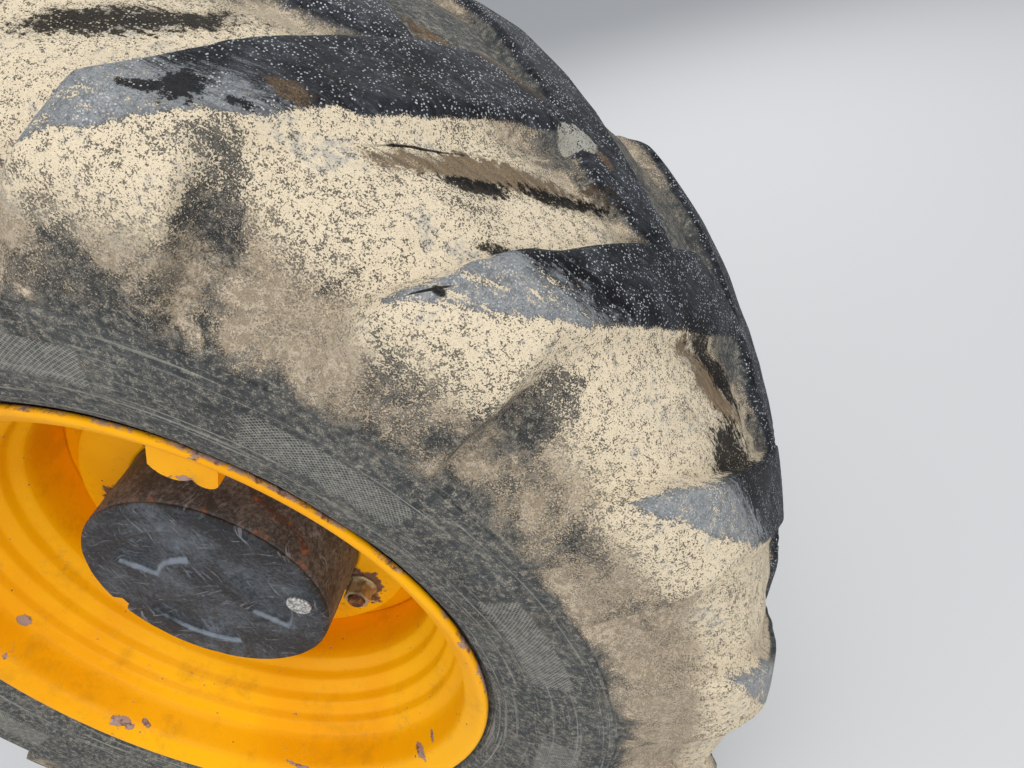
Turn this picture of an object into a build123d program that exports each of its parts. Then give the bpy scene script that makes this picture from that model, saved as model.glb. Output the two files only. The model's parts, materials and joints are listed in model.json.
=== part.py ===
from build123d import *

import math
import os

# Steered wheel end of a telehandler: a lugged tyre on its rim, turning with the planetary hub on the spindle of
# the steering knuckle. Millimetres. +X points to the front of the machine, +Y inboard to the axle beam, +Z up.
# The origin is where the upright kingpin axis (Z) crosses the wheel axis (Y).
# A section point is (radius from the wheel axis, reach), and reach is the distance outboard of the wheel's centre
# plane, negative on the inboard side.

# Place of the wheel
WHEEL_OFFSET = 260.0  # kingpin axis to the wheel's centre plane

# Tyre
TYRE_RADIUS = 603.0  # over the worn lug tops
TYRE_HALF_WIDTH = 224.0  # at the buttresses
GROOVE_DEPTH = 16.0  # at the centre line
WALL_THICKNESS = 24.0
LUG_COUNT = 16  # on each side
LUG_WIDTH = 98.0  # along the circumference, at the centre plane
LUG_BEND_WIDTH = 80.0
BUTTRESS_WIDTH = 110.0
BUTTRESS_SHIFT = 22.0  # of the buttress round from the lug's bend
LUG_ANGLE = 42.0  # from the axial direction
LUG_DRAFT = 9.0  # degrees
LUG_BEND_REACH = 173.0  # outboard of this reach a lug runs straight down the shoulder
BUTTRESS_REACH = 198.0
LUG_PASS = 28.0  # a lug runs this far past the centre plane
LUG_PHASE = 34.9  # degrees round from +X to the first outboard lug's bend
BEAD_GAP = 0.3
BEAD_RIB = 10.0  # from the flange's edge to the start of the sidewall

# Tyre sections: share of the way from the rim flange out to the groove floor or the lug tops, inset from the
# tyre's half width
CASING_LINE = [
    (0.06, 18.5), (0.20, 9.0), (0.42, 2.0), (0.61, 19.0), (0.83, 41.0), (0.93, 75.0), (0.984, 140.0), (1.0, 190.0),
]
TREAD_LINE = [
    (0.45, 14.0), (0.475, 0.0), (0.64, 3.0), (0.79, 15.0), (0.90, 42.0), (0.965, 100.0), (1.0, 190.0),
]
UNDER_LINE = [(0.65, 30.0), (0.815, 54.0), (0.90, 92.0), (0.955, 150.0)]
INNER_LINE = [(0.233, 8.0), (0.467, 1.0), (0.74, 38.0)]  # without the wall's thickness

# Rim, 24 inch
RIM_RADIUS = 330.0  # over the flanges
RIM_HALF_WIDTH = 203.0
RIM_THICKNESS = 7.0
SEAT_RADIUS = 303.0  # inner face, below the flange
SEAT_WIDTH = 38.0
WELL_RADIUS = 239.0
WELL_HALF_WIDTH = 63.0

# Wheel disc
DISC_THICKNESS = 14.0
DISC_SEAT_REACH = 38.0  # outer face where the nuts sit
DISC_EDGE_REACH = 7.0  # outer face where it meets the well
DISC_FLAT_MARGIN = 22.0  # flat outside the nuts' collars
DISC_STEP_SHARE = 0.28  # of the way from the flat to the well
DISC_STEP_DROP = 25.0  # from the flat back to the foot of the step
WELD_GAP = 0.2

# Studs and nuts
STUD_COUNT = 5
STUD_CIRCLE_MARGIN = 21.5  # outside the drum
STUD_RADIUS = 10.0
STUD_PHASE = -50.7  # degrees round from +X to the first stud
STUD_CLEARANCE = 1.0
NUT_ACROSS_FLATS = 30.0
NUT_HEIGHT = 18.0
NUT_COLLAR_RADIUS = 19.5
NUT_COLLAR_HEIGHT = 5.0
STUD_STANDOUT = 5.0  # beyond the nut
STUD_HEAD_RADIUS = 15.0
STUD_HEAD_HEIGHT = 8.0
THREAD_GAP = 0.1

# Hub and final drive
DRUM_RADIUS = 140.0
DRUM_FACE_REACH = 135.0
DRUM_WALL = 18.0
DRUM_EDGE_RADIUS = 5.0
SPIGOT_GAP = 0.5
HUB_FLANGE_MARGIN = 23.5  # outside the stud circle
HUB_FLANGE_THICKNESS = 22.0
HUB_BARREL_GAP = 3.5  # inside the stud heads
HUB_END_REACH = -103.0
COVER_THICKNESS = 7.0  # edge of the end cover, as far as the joint line
COVER_SPIGOT = 22.0
POCKET_DEPTH = 4.0
POCKET_INNER_RADIUS = 54.0
POCKET_MARGIN = 38.0  # inside the drum's edge
POCKET_SWEEP = 64.0
POCKET_ANGLES = (110.0, 230.0, 350.0)
NOTCH_ANGLE = 188.0
NOTCH_WIDTH = 24.0
NOTCH_DEPTH = 12.0
NOTCH_LENGTH = 26.0  # back from the drum's face
PLUG_RADIUS = 14.0
PLUG_MARGIN = 28.0  # inside the drum's edge
PLUG_ANGLE = -13.0
PLUG_STANDOUT = 3.0
PLUG_THREAD_RADIUS = 8.0
PLUG_DEPTH = 16.0

# Valve and its guard
VALVE_ANGLE = 57.5
VALVE_REACH = 118.0
VALVE_RADIUS = 4.5
VALVE_LENGTH = 36.0
VALVE_BASE_HEIGHT = 5.0
GUARD_REACH = 163.0  # outer face
GUARD_WIDTH = 62.0
GUARD_THICKNESS = 5.0
GUARD_DROP = 99.0  # from the rim's flange in to the lowest edge
GUARD_SIDE_DEPTH = 34.0
GUARD_LOBES = [(-31.0, 10.0), (-14.0, 0.0), (8.0, 8.0), (20.0, 2.0), (31.0, 9.0)]  # across, above the lowest edge

# Spindle
SPINDLE_RADIUS = 62.0
SPINDLE_BORE_RADIUS = 34.0
SPINDLE_FLANGE_RADIUS = 152.0
SPINDLE_FLANGE_THICKNESS = 22.0
SPINDLE_LENGTH = 128.0  # beyond its flange
HUB_RUNNING_GAP = 7.0  # hub end to spindle flange
BEARING_GAP = 0.05
BEARING_WIDTH = 24.0
BEARING_RELIEF = 6.0
SPINDLE_BOLT_COUNT = 12
SPINDLE_BOLT_CIRCLE_RADIUS = 138.0
SPINDLE_BOLT_RADIUS = 7.0
SPINDLE_BOLT_ACROSS_FLATS = 21.0
SPINDLE_BOLT_HEAD = 9.0
BOLT_HOLE_GAP = 0.3

# Steering knuckle
KNUCKLE_FLANGE_THICKNESS = 20.0
BELL_RADIUS = 122.0
BELL_MOUTH_RADIUS = 116.0
BELL_WALL = 24.0
BELL_MOUTH_Y = -46.0
BELL_SHOULDER = 14.0  # slope inside the bell, at its back
SHAFT_HOLE_RADIUS = 48.0
EAR_INNER_Z = 106.0
EAR_THICKNESS = 48.0
EAR_BOSS_RADIUS = 56.0
EAR_PAD_HEIGHT = 5.0
EAR_ROOT_WIDTH = 150.0
EAR_ROOT_Z = 118.0
EAR_ROOT_DEPTH = 22.0  # the ear starts this far inside the bell's inner wall
EAR_RISE_Y = 14.0  # behind the bell's back, where the ear starts to rise
EAR_RISE_LENGTH = 32.0
KINGPIN_BUSH_RADIUS = 36.0
KINGPIN_BORE_RADIUS = 30.0
BUSH_GAP = 0.05
ARM_PAD_X = -126.0
ARM_PAD_SETBACK = 14.0  # behind the knuckle flange, clear of its bolt heads
ARM_PAD_HEIGHT = 96.0
ARM_PAD_CENTRE_Z = -18.0

# Steering arm
ARM_FOOT_THICKNESS = 24.0
ARM_THICKNESS = 34.0
ARM_EYE_X = -212.0
ARM_EYE_Y = 34.0
ARM_EYE_RADIUS = 30.0
ARM_EYE_HEIGHT = 44.0
ARM_BORE_RADIUS = 12.0
ARM_BOLT_RADIUS = 6.0
ARM_BOLT_ACROSS_FLATS = 19.0
ARM_BOLT_HEAD = 8.0
ARM_BOLT_SPACING_Y = 25.0
ARM_BOLT_SPACING_Z = 68.0
ARM_BOLT_LENGTH = 44.0

# Steering stop
STOP_CIRCLE_RADIUS = 126.0
STOP_ANGLE = -17.0
STOP_RADIUS = 8.0
STOP_ACROSS_FLATS = 24.0
STOP_HEAD = 10.0
STOP_STANDOUT = 24.0  # lug face to the head's end
STOP_LUG_RADIUS = 20.0
STOP_LUG_LENGTH = 44.0

# Places that follow from the sizes above
LUG_PITCH = 360.0 / LUG_COUNT
STUD_CIRCLE_RADIUS = DRUM_RADIUS + STUD_CIRCLE_MARGIN
HUB_FLANGE_RADIUS = STUD_CIRCLE_RADIUS + HUB_FLANGE_MARGIN
HUB_BARREL_RADIUS = STUD_CIRCLE_RADIUS - STUD_HEAD_RADIUS - HUB_BARREL_GAP
DISC_FLAT_RADIUS = STUD_CIRCLE_RADIUS + NUT_COLLAR_RADIUS + DISC_FLAT_MARGIN
DISC_STEP_RADIUS = DISC_FLAT_RADIUS + (WELL_RADIUS - DISC_FLAT_RADIUS) * DISC_STEP_SHARE
PLUG_CIRCLE_RADIUS = DRUM_RADIUS - PLUG_MARGIN
POCKET_OUTER_RADIUS = DRUM_RADIUS - POCKET_MARGIN
HUB_FACE_REACH = DISC_SEAT_REACH - DISC_THICKNESS
SPINDLE_FACE_Y = -WHEEL_OFFSET - HUB_END_REACH + HUB_RUNNING_GAP
KNUCKLE_FACE_Y = SPINDLE_FACE_Y + SPINDLE_FLANGE_THICKNESS
BELL_BACK_Y = KNUCKLE_FACE_Y + KNUCKLE_FLANGE_THICKNESS
COVER_JOINT_REACH = DRUM_FACE_REACH - COVER_THICKNESS
ARM_PAD_Y = BELL_BACK_Y + ARM_PAD_SETBACK
ARM_PAD_DEPTH = BELL_MOUTH_Y - ARM_PAD_Y
STOP_FACE_Y = BELL_MOUTH_Y + 2.0


def section(points):
    """Face in the XY plane from (radius, reach) points, with reach measured outboard."""
    corners = [(radius, -WHEEL_OFFSET - reach) for radius, reach in points]
    return make_face(Polyline(*corners, close=True))


def turned(points):
    """Ring turned about the wheel axis from a closed (radius, reach) outline."""
    return revolve(section(points), Axis.Y)


def mirrored(half):
    """Whole section line from its outboard half, which runs in to the centre plane."""
    return half + [(radius, -reach) for radius, reach in reversed(half)]


def offset_line(points, distance):
    """Line at a constant distance outwards of a run of points, mitred at each bend."""
    normals = []
    for (r0, w0), (r1, w1) in zip(points, points[1:]):
        length = math.hypot(r1 - r0, w1 - w0)
        normals.append(((w0 - w1) / length, (r1 - r0) / length))
    ends = [normals[0]] + normals + [normals[-1]]
    moved = []
    for (r, w), (ar, aw), (br, bw) in zip(points, ends, ends[1:]):
        scale = distance / (1.0 + ar * br + aw * bw)
        moved.append((r + (ar + br) * scale, w + (aw + bw) * scale))
    return moved


def around(shape, count, phase=0.0):
    """Copies of a shape set evenly round the wheel axis."""
    return [Rot(0, -phase - 360.0 / count * k, 0) * shape for k in range(count)]


def on_circle(radius, angle):
    """X and Z of a point round the wheel axis, angle from +X towards +Z."""
    return radius * math.cos(math.radians(angle)), radius * math.sin(math.radians(angle))


def rod(radius, y0, y1, x=0.0, z=0.0):
    """Round bar along Y from y0 to y1."""
    bar = Solid.make_cylinder(radius, abs(y1 - y0), Plane((x, min(y0, y1), z), z_dir=(0, 1, 0)))
    return Part(bar.wrapped)


def hexagon(across_flats, y0, y1, x=0.0, z=0.0):
    """Hexagonal bar along Y from y0 to y1."""
    face = Plane((x, min(y0, y1), z), z_dir=(0, 1, 0)) * RegularPolygon(across_flats / 2, 6, major_radius=False)
    return extrude(face, abs(y1 - y0))


def reach_y(reach):
    """Y of a reach outboard of the wheel's centre plane."""
    return -WHEEL_OFFSET - reach


# Rim barrel section, outboard flange to centre
RIM_HALF = [
    (RIM_RADIUS, RIM_HALF_WIDTH),
    (SEAT_RADIUS, RIM_HALF_WIDTH - 12.0),
    (SEAT_RADIUS - 5.0, RIM_HALF_WIDTH - 12.0 - SEAT_WIDTH),
    (SEAT_RADIUS - 33.0, WELL_HALF_WIDTH + 50.0),
    (WELL_RADIUS, WELL_HALF_WIDTH),
]


def tyre_line(table, top_radius, inset=0.0):
    """Section points of a tyre table, between the rim flange and a top radius."""
    height = top_radius - RIM_RADIUS
    return [(RIM_RADIUS + share * height, TYRE_HALF_WIDTH - inset - depth) for share, depth in table]


def tyre():
    """Casing with cleats: two rows of slanted lugs that interlock at the middle and run down as buttresses."""
    seat = offset_line(RIM_HALF, RIM_THICKNESS + BEAD_GAP)
    floor = TYRE_RADIUS - GROOVE_DEPTH
    outer_half = [seat[2], seat[1], seat[0], (RIM_RADIUS + BEAD_RIB, RIM_HALF_WIDTH + 2.0)]
    outer_half += tyre_line(CASING_LINE, floor)
    inner_half = [(seat[2][0] + WALL_THICKNESS, seat[2][1] - 2.0)]
    inner_half += tyre_line(INNER_LINE, floor, WALL_THICKNESS)
    inner_half.append((floor - WALL_THICKNESS, TYRE_HALF_WIDTH * 0.45))
    casing = turned(mirrored(outer_half) + list(reversed(mirrored(inner_half))))
    tread_half = tyre_line(TREAD_LINE, TYRE_RADIUS)
    under_half = tyre_line(UNDER_LINE, floor)
    band = turned(mirrored(tread_half) + list(reversed(mirrored(under_half))))
    middle = Plane((0, -WHEEL_OFFSET, 0), z_dir=(0, 1, 0))
    lug = lug_block() & band
    near = around(lug, LUG_COUNT, LUG_PHASE)
    far = around(mirror(lug, middle), LUG_COUNT, LUG_PHASE + LUG_PITCH / 2)
    return casing + near + far


def lug_block():
    """Slanted block, seen along the radius, that cuts one outboard lug from the tread band."""
    slope = math.tan(math.radians(LUG_ANGLE))
    tip = -LUG_PASS
    wide = LUG_WIDTH / 2
    bend = LUG_BEND_WIDTH / 2
    foot = BUTTRESS_WIDTH / 2
    end = TYRE_HALF_WIDTH + 20.0
    tip_middle = slope * (tip - LUG_BEND_REACH)
    outline = [
        (foot + BUTTRESS_SHIFT, end),
        (foot + BUTTRESS_SHIFT, BUTTRESS_REACH),
        (bend, LUG_BEND_REACH),
        (tip_middle + wide, tip),
        (tip_middle - wide, tip),
        (-bend, LUG_BEND_REACH),
        (BUTTRESS_SHIFT - foot, BUTTRESS_REACH),
        (BUTTRESS_SHIFT - foot, end),
    ]
    # The block stands along the radius that meets the middle of the slant.
    middle = tip_middle / 2
    height = TYRE_RADIUS - RIM_RADIUS - 100.0
    top = Plane((TYRE_RADIUS + 5.0, -WHEEL_OFFSET, -middle), x_dir=(0, 0, 1), z_dir=(1, 0, 0))
    face = top * make_face(Polyline(*[(u, reach) for u, reach in outline], close=True))
    block = extrude(face, -height, taper=-LUG_DRAFT)
    return Rot(0, -math.degrees(middle / TYRE_RADIUS), 0) * block


def rim():
    """Drop centre barrel of one plate thickness, flange to flange."""
    back = offset_line(RIM_HALF, RIM_THICKNESS)
    (r0, w0), (r1, w1) = back[:2]
    back[0] = (RIM_RADIUS, w0 + (w1 - w0) * (RIM_RADIUS - r0) / (r1 - r0))
    return turned(mirrored(RIM_HALF) + list(reversed(mirrored(back))))


def wheel_disc():
    """Dished plate welded into the rim's well, with the centre bore and the stud holes."""
    line = [
        (WELL_RADIUS - WELD_GAP, DISC_EDGE_REACH),
        (DISC_STEP_RADIUS, DISC_SEAT_REACH - DISC_STEP_DROP),
        (DISC_FLAT_RADIUS, DISC_SEAT_REACH),
        (DRUM_RADIUS + SPIGOT_GAP, DISC_SEAT_REACH),
    ]
    back = offset_line(line, DISC_THICKNESS)
    back[0] = (line[0][0], line[0][1] - DISC_THICKNESS)
    disc = turned(line + list(reversed(back)))
    hole = rod(STUD_RADIUS + STUD_CLEARANCE, reach_y(DISC_SEAT_REACH + 5.0), reach_y(HUB_FACE_REACH - 5.0),
               *on_circle(STUD_CIRCLE_RADIUS, 0.0))
    return disc - around(hole, STUD_COUNT, STUD_PHASE)


def hub():
    """Hub housing: planet drum, wheel flange and bearing barrel, bored for the spindle."""
    flange_back = HUB_FACE_REACH - HUB_FLANGE_THICKNESS
    journal = SPINDLE_RADIUS + BEARING_GAP
    relief = journal + BEARING_RELIEF
    end = HUB_END_REACH
    front = end + SPINDLE_LENGTH - HUB_RUNNING_GAP
    housing = turned([
        (DRUM_RADIUS, COVER_JOINT_REACH),
        (DRUM_RADIUS, HUB_FACE_REACH),
        (HUB_FLANGE_RADIUS, HUB_FACE_REACH),
        (HUB_FLANGE_RADIUS, flange_back),
        (HUB_BARREL_RADIUS, flange_back),
        (HUB_BARREL_RADIUS, end + 8.0),
        (HUB_BARREL_RADIUS - 8.0, end),
        (journal, end),
        (journal, end + BEARING_WIDTH),
        (relief, end + BEARING_WIDTH),
        (relief, front - BEARING_WIDTH),
        (journal, front - BEARING_WIDTH),
        (journal, front),
        (DRUM_RADIUS - DRUM_WALL - 20.0, front),
        (DRUM_RADIUS - DRUM_WALL, front + 14.0),
        (DRUM_RADIUS - DRUM_WALL, COVER_JOINT_REACH),
    ])
    hole = rod(STUD_RADIUS + THREAD_GAP, reach_y(HUB_FACE_REACH + 5.0), reach_y(flange_back - 5.0),
               *on_circle(STUD_CIRCLE_RADIUS, 0.0))
    return housing - around(hole, STUD_COUNT, STUD_PHASE) - edge_notch()


def edge_notch():
    """Round-bottomed slot cut in from the drum's edge, through the end cover and into the drum."""
    x, z = on_circle(DRUM_RADIUS, NOTCH_ANGLE)
    slot = Box(NOTCH_DEPTH * 2, NOTCH_LENGTH * 2, NOTCH_WIDTH)
    slot = fillet(slot.edges().filter_by(Axis.Y), NOTCH_DEPTH * 0.6)
    return Pos(x, reach_y(DRUM_FACE_REACH), z) * Rot(0, -NOTCH_ANGLE, 0) * slot


def drive_cover():
    """End cover of the final drive, with three shallow pockets, an edge notch and the plug's hole."""
    face_y = reach_y(DRUM_FACE_REACH)
    joint_y = reach_y(COVER_JOINT_REACH)
    lid = rod(DRUM_RADIUS, face_y, joint_y)
    lid = chamfer(lid.edges().filter_by(GeomType.CIRCLE).sort_by(Axis.Y)[0], DRUM_EDGE_RADIUS, DRUM_EDGE_RADIUS * 0.7)
    lid += rod(DRUM_RADIUS - DRUM_WALL - SPIGOT_GAP, joint_y, joint_y + COVER_SPIGOT)
    floor_y = face_y + POCKET_DEPTH
    band = rod(POCKET_OUTER_RADIUS, face_y - 5.0, floor_y) - rod(POCKET_INNER_RADIUS, face_y - 5.0, floor_y)
    reach = POCKET_OUTER_RADIUS * 2
    for angle in POCKET_ANGLES:
        edges = [(0.0, 0.0)]
        for side in (-1, 0, 1):
            x, z = on_circle(reach, angle + side * POCKET_SWEEP / 2)
            edges.append((x, -z))
        wedge = Plane((0, face_y - 5.0, 0), x_dir=(1, 0, 0), z_dir=(0, 1, 0)) * make_face(Polyline(*edges, close=True))
        lid -= band & extrude(wedge, 5.0 + POCKET_DEPTH)
    hole = rod(PLUG_THREAD_RADIUS, face_y - 5.0, face_y + PLUG_DEPTH, *on_circle(PLUG_CIRCLE_RADIUS, PLUG_ANGLE))
    return lid - edge_notch() - hole


def oil_plug():
    """Level plug in the end cover: a low flanged head with a hexagon socket."""
    x, z = on_circle(PLUG_CIRCLE_RADIUS, PLUG_ANGLE)
    face_y = reach_y(DRUM_FACE_REACH)
    head = rod(PLUG_RADIUS, face_y - PLUG_STANDOUT, face_y, x, z)
    shank = rod(PLUG_THREAD_RADIUS - THREAD_GAP, face_y, face_y + PLUG_DEPTH - 1.0, x, z)
    return head + shank - hexagon(10.0, face_y - PLUG_STANDOUT - 1.0, face_y + 6.0, x, z)


def wheel_studs():
    """Pressed studs, headed behind the hub flange."""
    x, z = on_circle(STUD_CIRCLE_RADIUS, 0.0)
    back = reach_y(HUB_FACE_REACH - HUB_FLANGE_THICKNESS)
    tip = reach_y(DISC_SEAT_REACH + NUT_COLLAR_HEIGHT + NUT_HEIGHT + STUD_STANDOUT)
    stud = rod(STUD_RADIUS, tip, back, x, z) + rod(STUD_HEAD_RADIUS, back, back + STUD_HEAD_HEIGHT, x, z)
    return around(stud, STUD_COUNT, STUD_PHASE)


def wheel_nuts():
    """Flanged hexagon nuts on the studs."""
    x, z = on_circle(STUD_CIRCLE_RADIUS, 0.0)
    seat = reach_y(DISC_SEAT_REACH)
    collar = rod(NUT_COLLAR_RADIUS, seat - NUT_COLLAR_HEIGHT, seat, x, z)
    body = hexagon(NUT_ACROSS_FLATS, seat - NUT_COLLAR_HEIGHT - NUT_HEIGHT, seat - NUT_COLLAR_HEIGHT, x, z)
    thread = rod(STUD_RADIUS + THREAD_GAP, seat - 60.0, seat + 5.0, x, z)
    return around(collar + body - thread, STUD_COUNT, STUD_PHASE)


def slope_radius(reach):
    """Inner radius of the rim barrel at a reach on its outboard half."""
    for (r0, w0), (r1, w1) in zip(RIM_HALF, RIM_HALF[1:]):
        if w1 <= reach <= w0:
            return r1 + (r0 - r1) * (reach - w1) / (w0 - w1)
    return WELL_RADIUS


def valve_stem():
    """Valve that stands square on the barrel's slope."""
    (r0, w0), (r1, w1) = RIM_HALF[2:4]
    length = math.hypot(r0 - r1, w0 - w1)
    root = slope_radius(VALVE_REACH)
    square = Plane((root, reach_y(VALVE_REACH), 0), z_dir=((w1 - w0) / length, (r1 - r0) / length, 0))
    square = square.offset(WELD_GAP + 0.1)
    standing = (Align.CENTER, Align.CENTER, Align.MIN)
    base = square * Cylinder(VALVE_RADIUS * 2.0, VALVE_BASE_HEIGHT, align=standing)
    stem = square * Cylinder(VALVE_RADIUS, VALVE_LENGTH, align=standing)
    return Rot(0, -VALVE_ANGLE, 0) * (base + stem)


def valve_guard():
    """Pressed cover over the valve: a front plate with two lobes on its lower edge and two side returns."""
    front_y = reach_y(GUARD_REACH)
    half = GUARD_WIDTH / 2
    drop = RIM_RADIUS - GUARD_DROP
    lobes = [(across * half / GUARD_LOBES[-1][0], drop + above) for across, above in GUARD_LOBES]
    sides = Polyline(lobes[0], (-half, RIM_RADIUS), (half, RIM_RADIUS), lobes[-1])
    plate = make_face(sides.edges() + ThreePointArc(*lobes[:3]).edges() + ThreePointArc(*lobes[2:]).edges())
    facing = Plane((0, front_y, 0), x_dir=(1, 0, 0), z_dir=(0, -1, 0))
    block = extrude(facing * plate, -GUARD_SIDE_DEPTH)
    inside = Pos(0, front_y + GUARD_THICKNESS + GUARD_SIDE_DEPTH / 2, 0) * Box(
        GUARD_WIDTH - 2 * GUARD_THICKNESS, GUARD_SIDE_DEPTH, 3 * RIM_RADIUS
    )
    bore = [(0.0, RIM_HALF_WIDTH)]
    bore += [(radius - WELD_GAP, reach) for radius, reach in RIM_HALF]
    bore.append((0.0, WELL_HALF_WIDTH))
    return Rot(0, 90.0 - VALVE_ANGLE, 0) * ((block - inside) & turned(bore))


def knuckle():
    """Cast swivel housing: spindle flange, bell, and two ears bored for the kingpins."""
    flange = rod(SPINDLE_FLANGE_RADIUS, KNUCKLE_FACE_Y, BELL_BACK_Y)
    bell_face = make_face(Polyline(
        (0, BELL_BACK_Y),
        (BELL_RADIUS, BELL_BACK_Y),
        (BELL_MOUTH_RADIUS, BELL_MOUTH_Y),
        (0, BELL_MOUTH_Y),
        close=True,
    ))
    body = flange + revolve(bell_face, Axis.Y)
    for side in (1, -1):
        body += ear(side)
    pad = Box(abs(ARM_PAD_X) - 60.0, ARM_PAD_DEPTH, ARM_PAD_HEIGHT, align=(Align.MIN, Align.MIN, Align.CENTER))
    body += Pos(ARM_PAD_X, ARM_PAD_Y, ARM_PAD_CENTRE_Z) * pad
    stop_x, stop_z = on_circle(STOP_CIRCLE_RADIUS, STOP_ANGLE)
    body += rod(STOP_LUG_RADIUS, STOP_FACE_Y - STOP_LUG_LENGTH, STOP_FACE_Y, stop_x, stop_z)
    cavity = make_face(Polyline(
        (0, BELL_BACK_Y),
        (BELL_RADIUS - BELL_WALL - BELL_SHOULDER, BELL_BACK_Y),
        (BELL_MOUTH_RADIUS - BELL_WALL, BELL_BACK_Y + BELL_SHOULDER),
        (BELL_MOUTH_RADIUS - BELL_WALL, BELL_MOUTH_Y + 1.0),
        (0, BELL_MOUTH_Y + 1.0),
        close=True,
    ))
    body -= revolve(cavity, Axis.Y)
    body -= rod(SHAFT_HOLE_RADIUS, KNUCKLE_FACE_Y - 1.0, BELL_BACK_Y + 1.0)
    body -= spindle_bolt_holes()
    for bolt in arm_bolt_places():
        body -= arm_bolt_bar(bolt, ARM_BOLT_RADIUS + BOLT_HOLE_GAP, ARM_BOLT_LENGTH + 2.0)
    body -= rod(STOP_RADIUS + THREAD_GAP, STOP_FACE_Y - STOP_LUG_LENGTH - 1.0, STOP_FACE_Y + 1.0, stop_x, stop_z)
    return body


def ear(side):
    """One kingpin ear, as a tongue from the bell to a round boss, side +1 above and -1 below."""
    root = EAR_ROOT_WIDTH / 2
    plan = make_hull(Circle(EAR_BOSS_RADIUS).edges() + Line((-root, BELL_BACK_Y), (root, BELL_BACK_Y)).edges())
    top_z = EAR_INNER_Z + EAR_THICKNESS
    low_z = BELL_MOUTH_RADIUS - BELL_WALL - EAR_ROOT_DEPTH
    tongue = Pos(0, 0, low_z) * extrude(plan, top_z)
    profile = Plane.YZ * make_face(Polyline(
        (BELL_BACK_Y, low_z),
        (BELL_BACK_Y, EAR_ROOT_Z),
        (BELL_BACK_Y + EAR_RISE_Y, EAR_ROOT_Z),
        (BELL_BACK_Y + EAR_RISE_Y + EAR_RISE_LENGTH, top_z),
        (EAR_BOSS_RADIUS + 1.0, top_z),
        (EAR_BOSS_RADIUS + 1.0, EAR_INNER_Z),
        (BELL_MOUTH_Y + 4.0, EAR_INNER_Z),
        (BELL_MOUTH_Y - 6.0, low_z),
        close=True,
    ))
    tongue = tongue & extrude(profile, EAR_ROOT_WIDTH, both=True)
    pad = Cylinder(EAR_BOSS_RADIUS - 8.0, EAR_PAD_HEIGHT, align=(Align.CENTER, Align.CENTER, Align.MIN))
    bore = Cylinder(KINGPIN_BUSH_RADIUS + BUSH_GAP, EAR_THICKNESS * 3)
    solid = tongue + Pos(0, 0, top_z) * pad - Pos(0, 0, top_z) * bore
    return solid if side > 0 else mirror(solid, Plane.XY)


def kingpin_bush(side):
    """Bush in one ear."""
    low = EAR_INNER_Z
    height = EAR_THICKNESS + EAR_PAD_HEIGHT
    ring = Cylinder(KINGPIN_BUSH_RADIUS, height) - Cylinder(KINGPIN_BORE_RADIUS, height * 2)
    return Pos(0, 0, side * (low + height / 2)) * ring


def spindle_bolt_holes():
    """Clearance holes through the knuckle flange and the spindle flange."""
    hole = rod(SPINDLE_BOLT_RADIUS + BOLT_HOLE_GAP, SPINDLE_FACE_Y - 1.0, BELL_BACK_Y + 1.0,
               *on_circle(SPINDLE_BOLT_CIRCLE_RADIUS, 0.0))
    return around(hole, SPINDLE_BOLT_COUNT, 180.0 / SPINDLE_BOLT_COUNT)


def spindle():
    """Flanged hollow spindle that carries the hub."""
    tube = rod(SPINDLE_RADIUS, SPINDLE_FACE_Y - SPINDLE_LENGTH, SPINDLE_FACE_Y)
    flange = rod(SPINDLE_FLANGE_RADIUS, SPINDLE_FACE_Y, KNUCKLE_FACE_Y)
    shaft = rod(SPINDLE_BORE_RADIUS, SPINDLE_FACE_Y - SPINDLE_LENGTH - 1.0, KNUCKLE_FACE_Y + 1.0)
    return tube + flange - shaft - spindle_bolt_holes()


def spindle_bolts():
    """Hexagon bolts through the knuckle flange into the spindle flange."""
    x, z = on_circle(SPINDLE_BOLT_CIRCLE_RADIUS, 0.0)
    head = hexagon(SPINDLE_BOLT_ACROSS_FLATS, BELL_BACK_Y, BELL_BACK_Y + SPINDLE_BOLT_HEAD, x, z)
    shank = rod(SPINDLE_BOLT_RADIUS, SPINDLE_FACE_Y + 1.0, BELL_BACK_Y, x, z)
    return around(head + shank, SPINDLE_BOLT_COUNT, 180.0 / SPINDLE_BOLT_COUNT)


def arm_bolt_places():
    """Y and Z of the four bolts that hold the steering arm."""
    middle_y = ARM_PAD_Y + ARM_PAD_DEPTH / 2
    return [
        (middle_y + sy * ARM_BOLT_SPACING_Y / 2, ARM_PAD_CENTRE_Z + sz * ARM_BOLT_SPACING_Z / 2)
        for sy in (-1, 1)
        for sz in (-1, 1)
    ]


def arm_bolt_bar(place, radius, length):
    """Round bar along X from the arm's outer face into the knuckle."""
    y, z = place
    start = ARM_PAD_X - ARM_FOOT_THICKNESS
    return Part(Solid.make_cylinder(radius, length, Plane((start, y, z), z_dir=(1, 0, 0))).wrapped)


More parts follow.
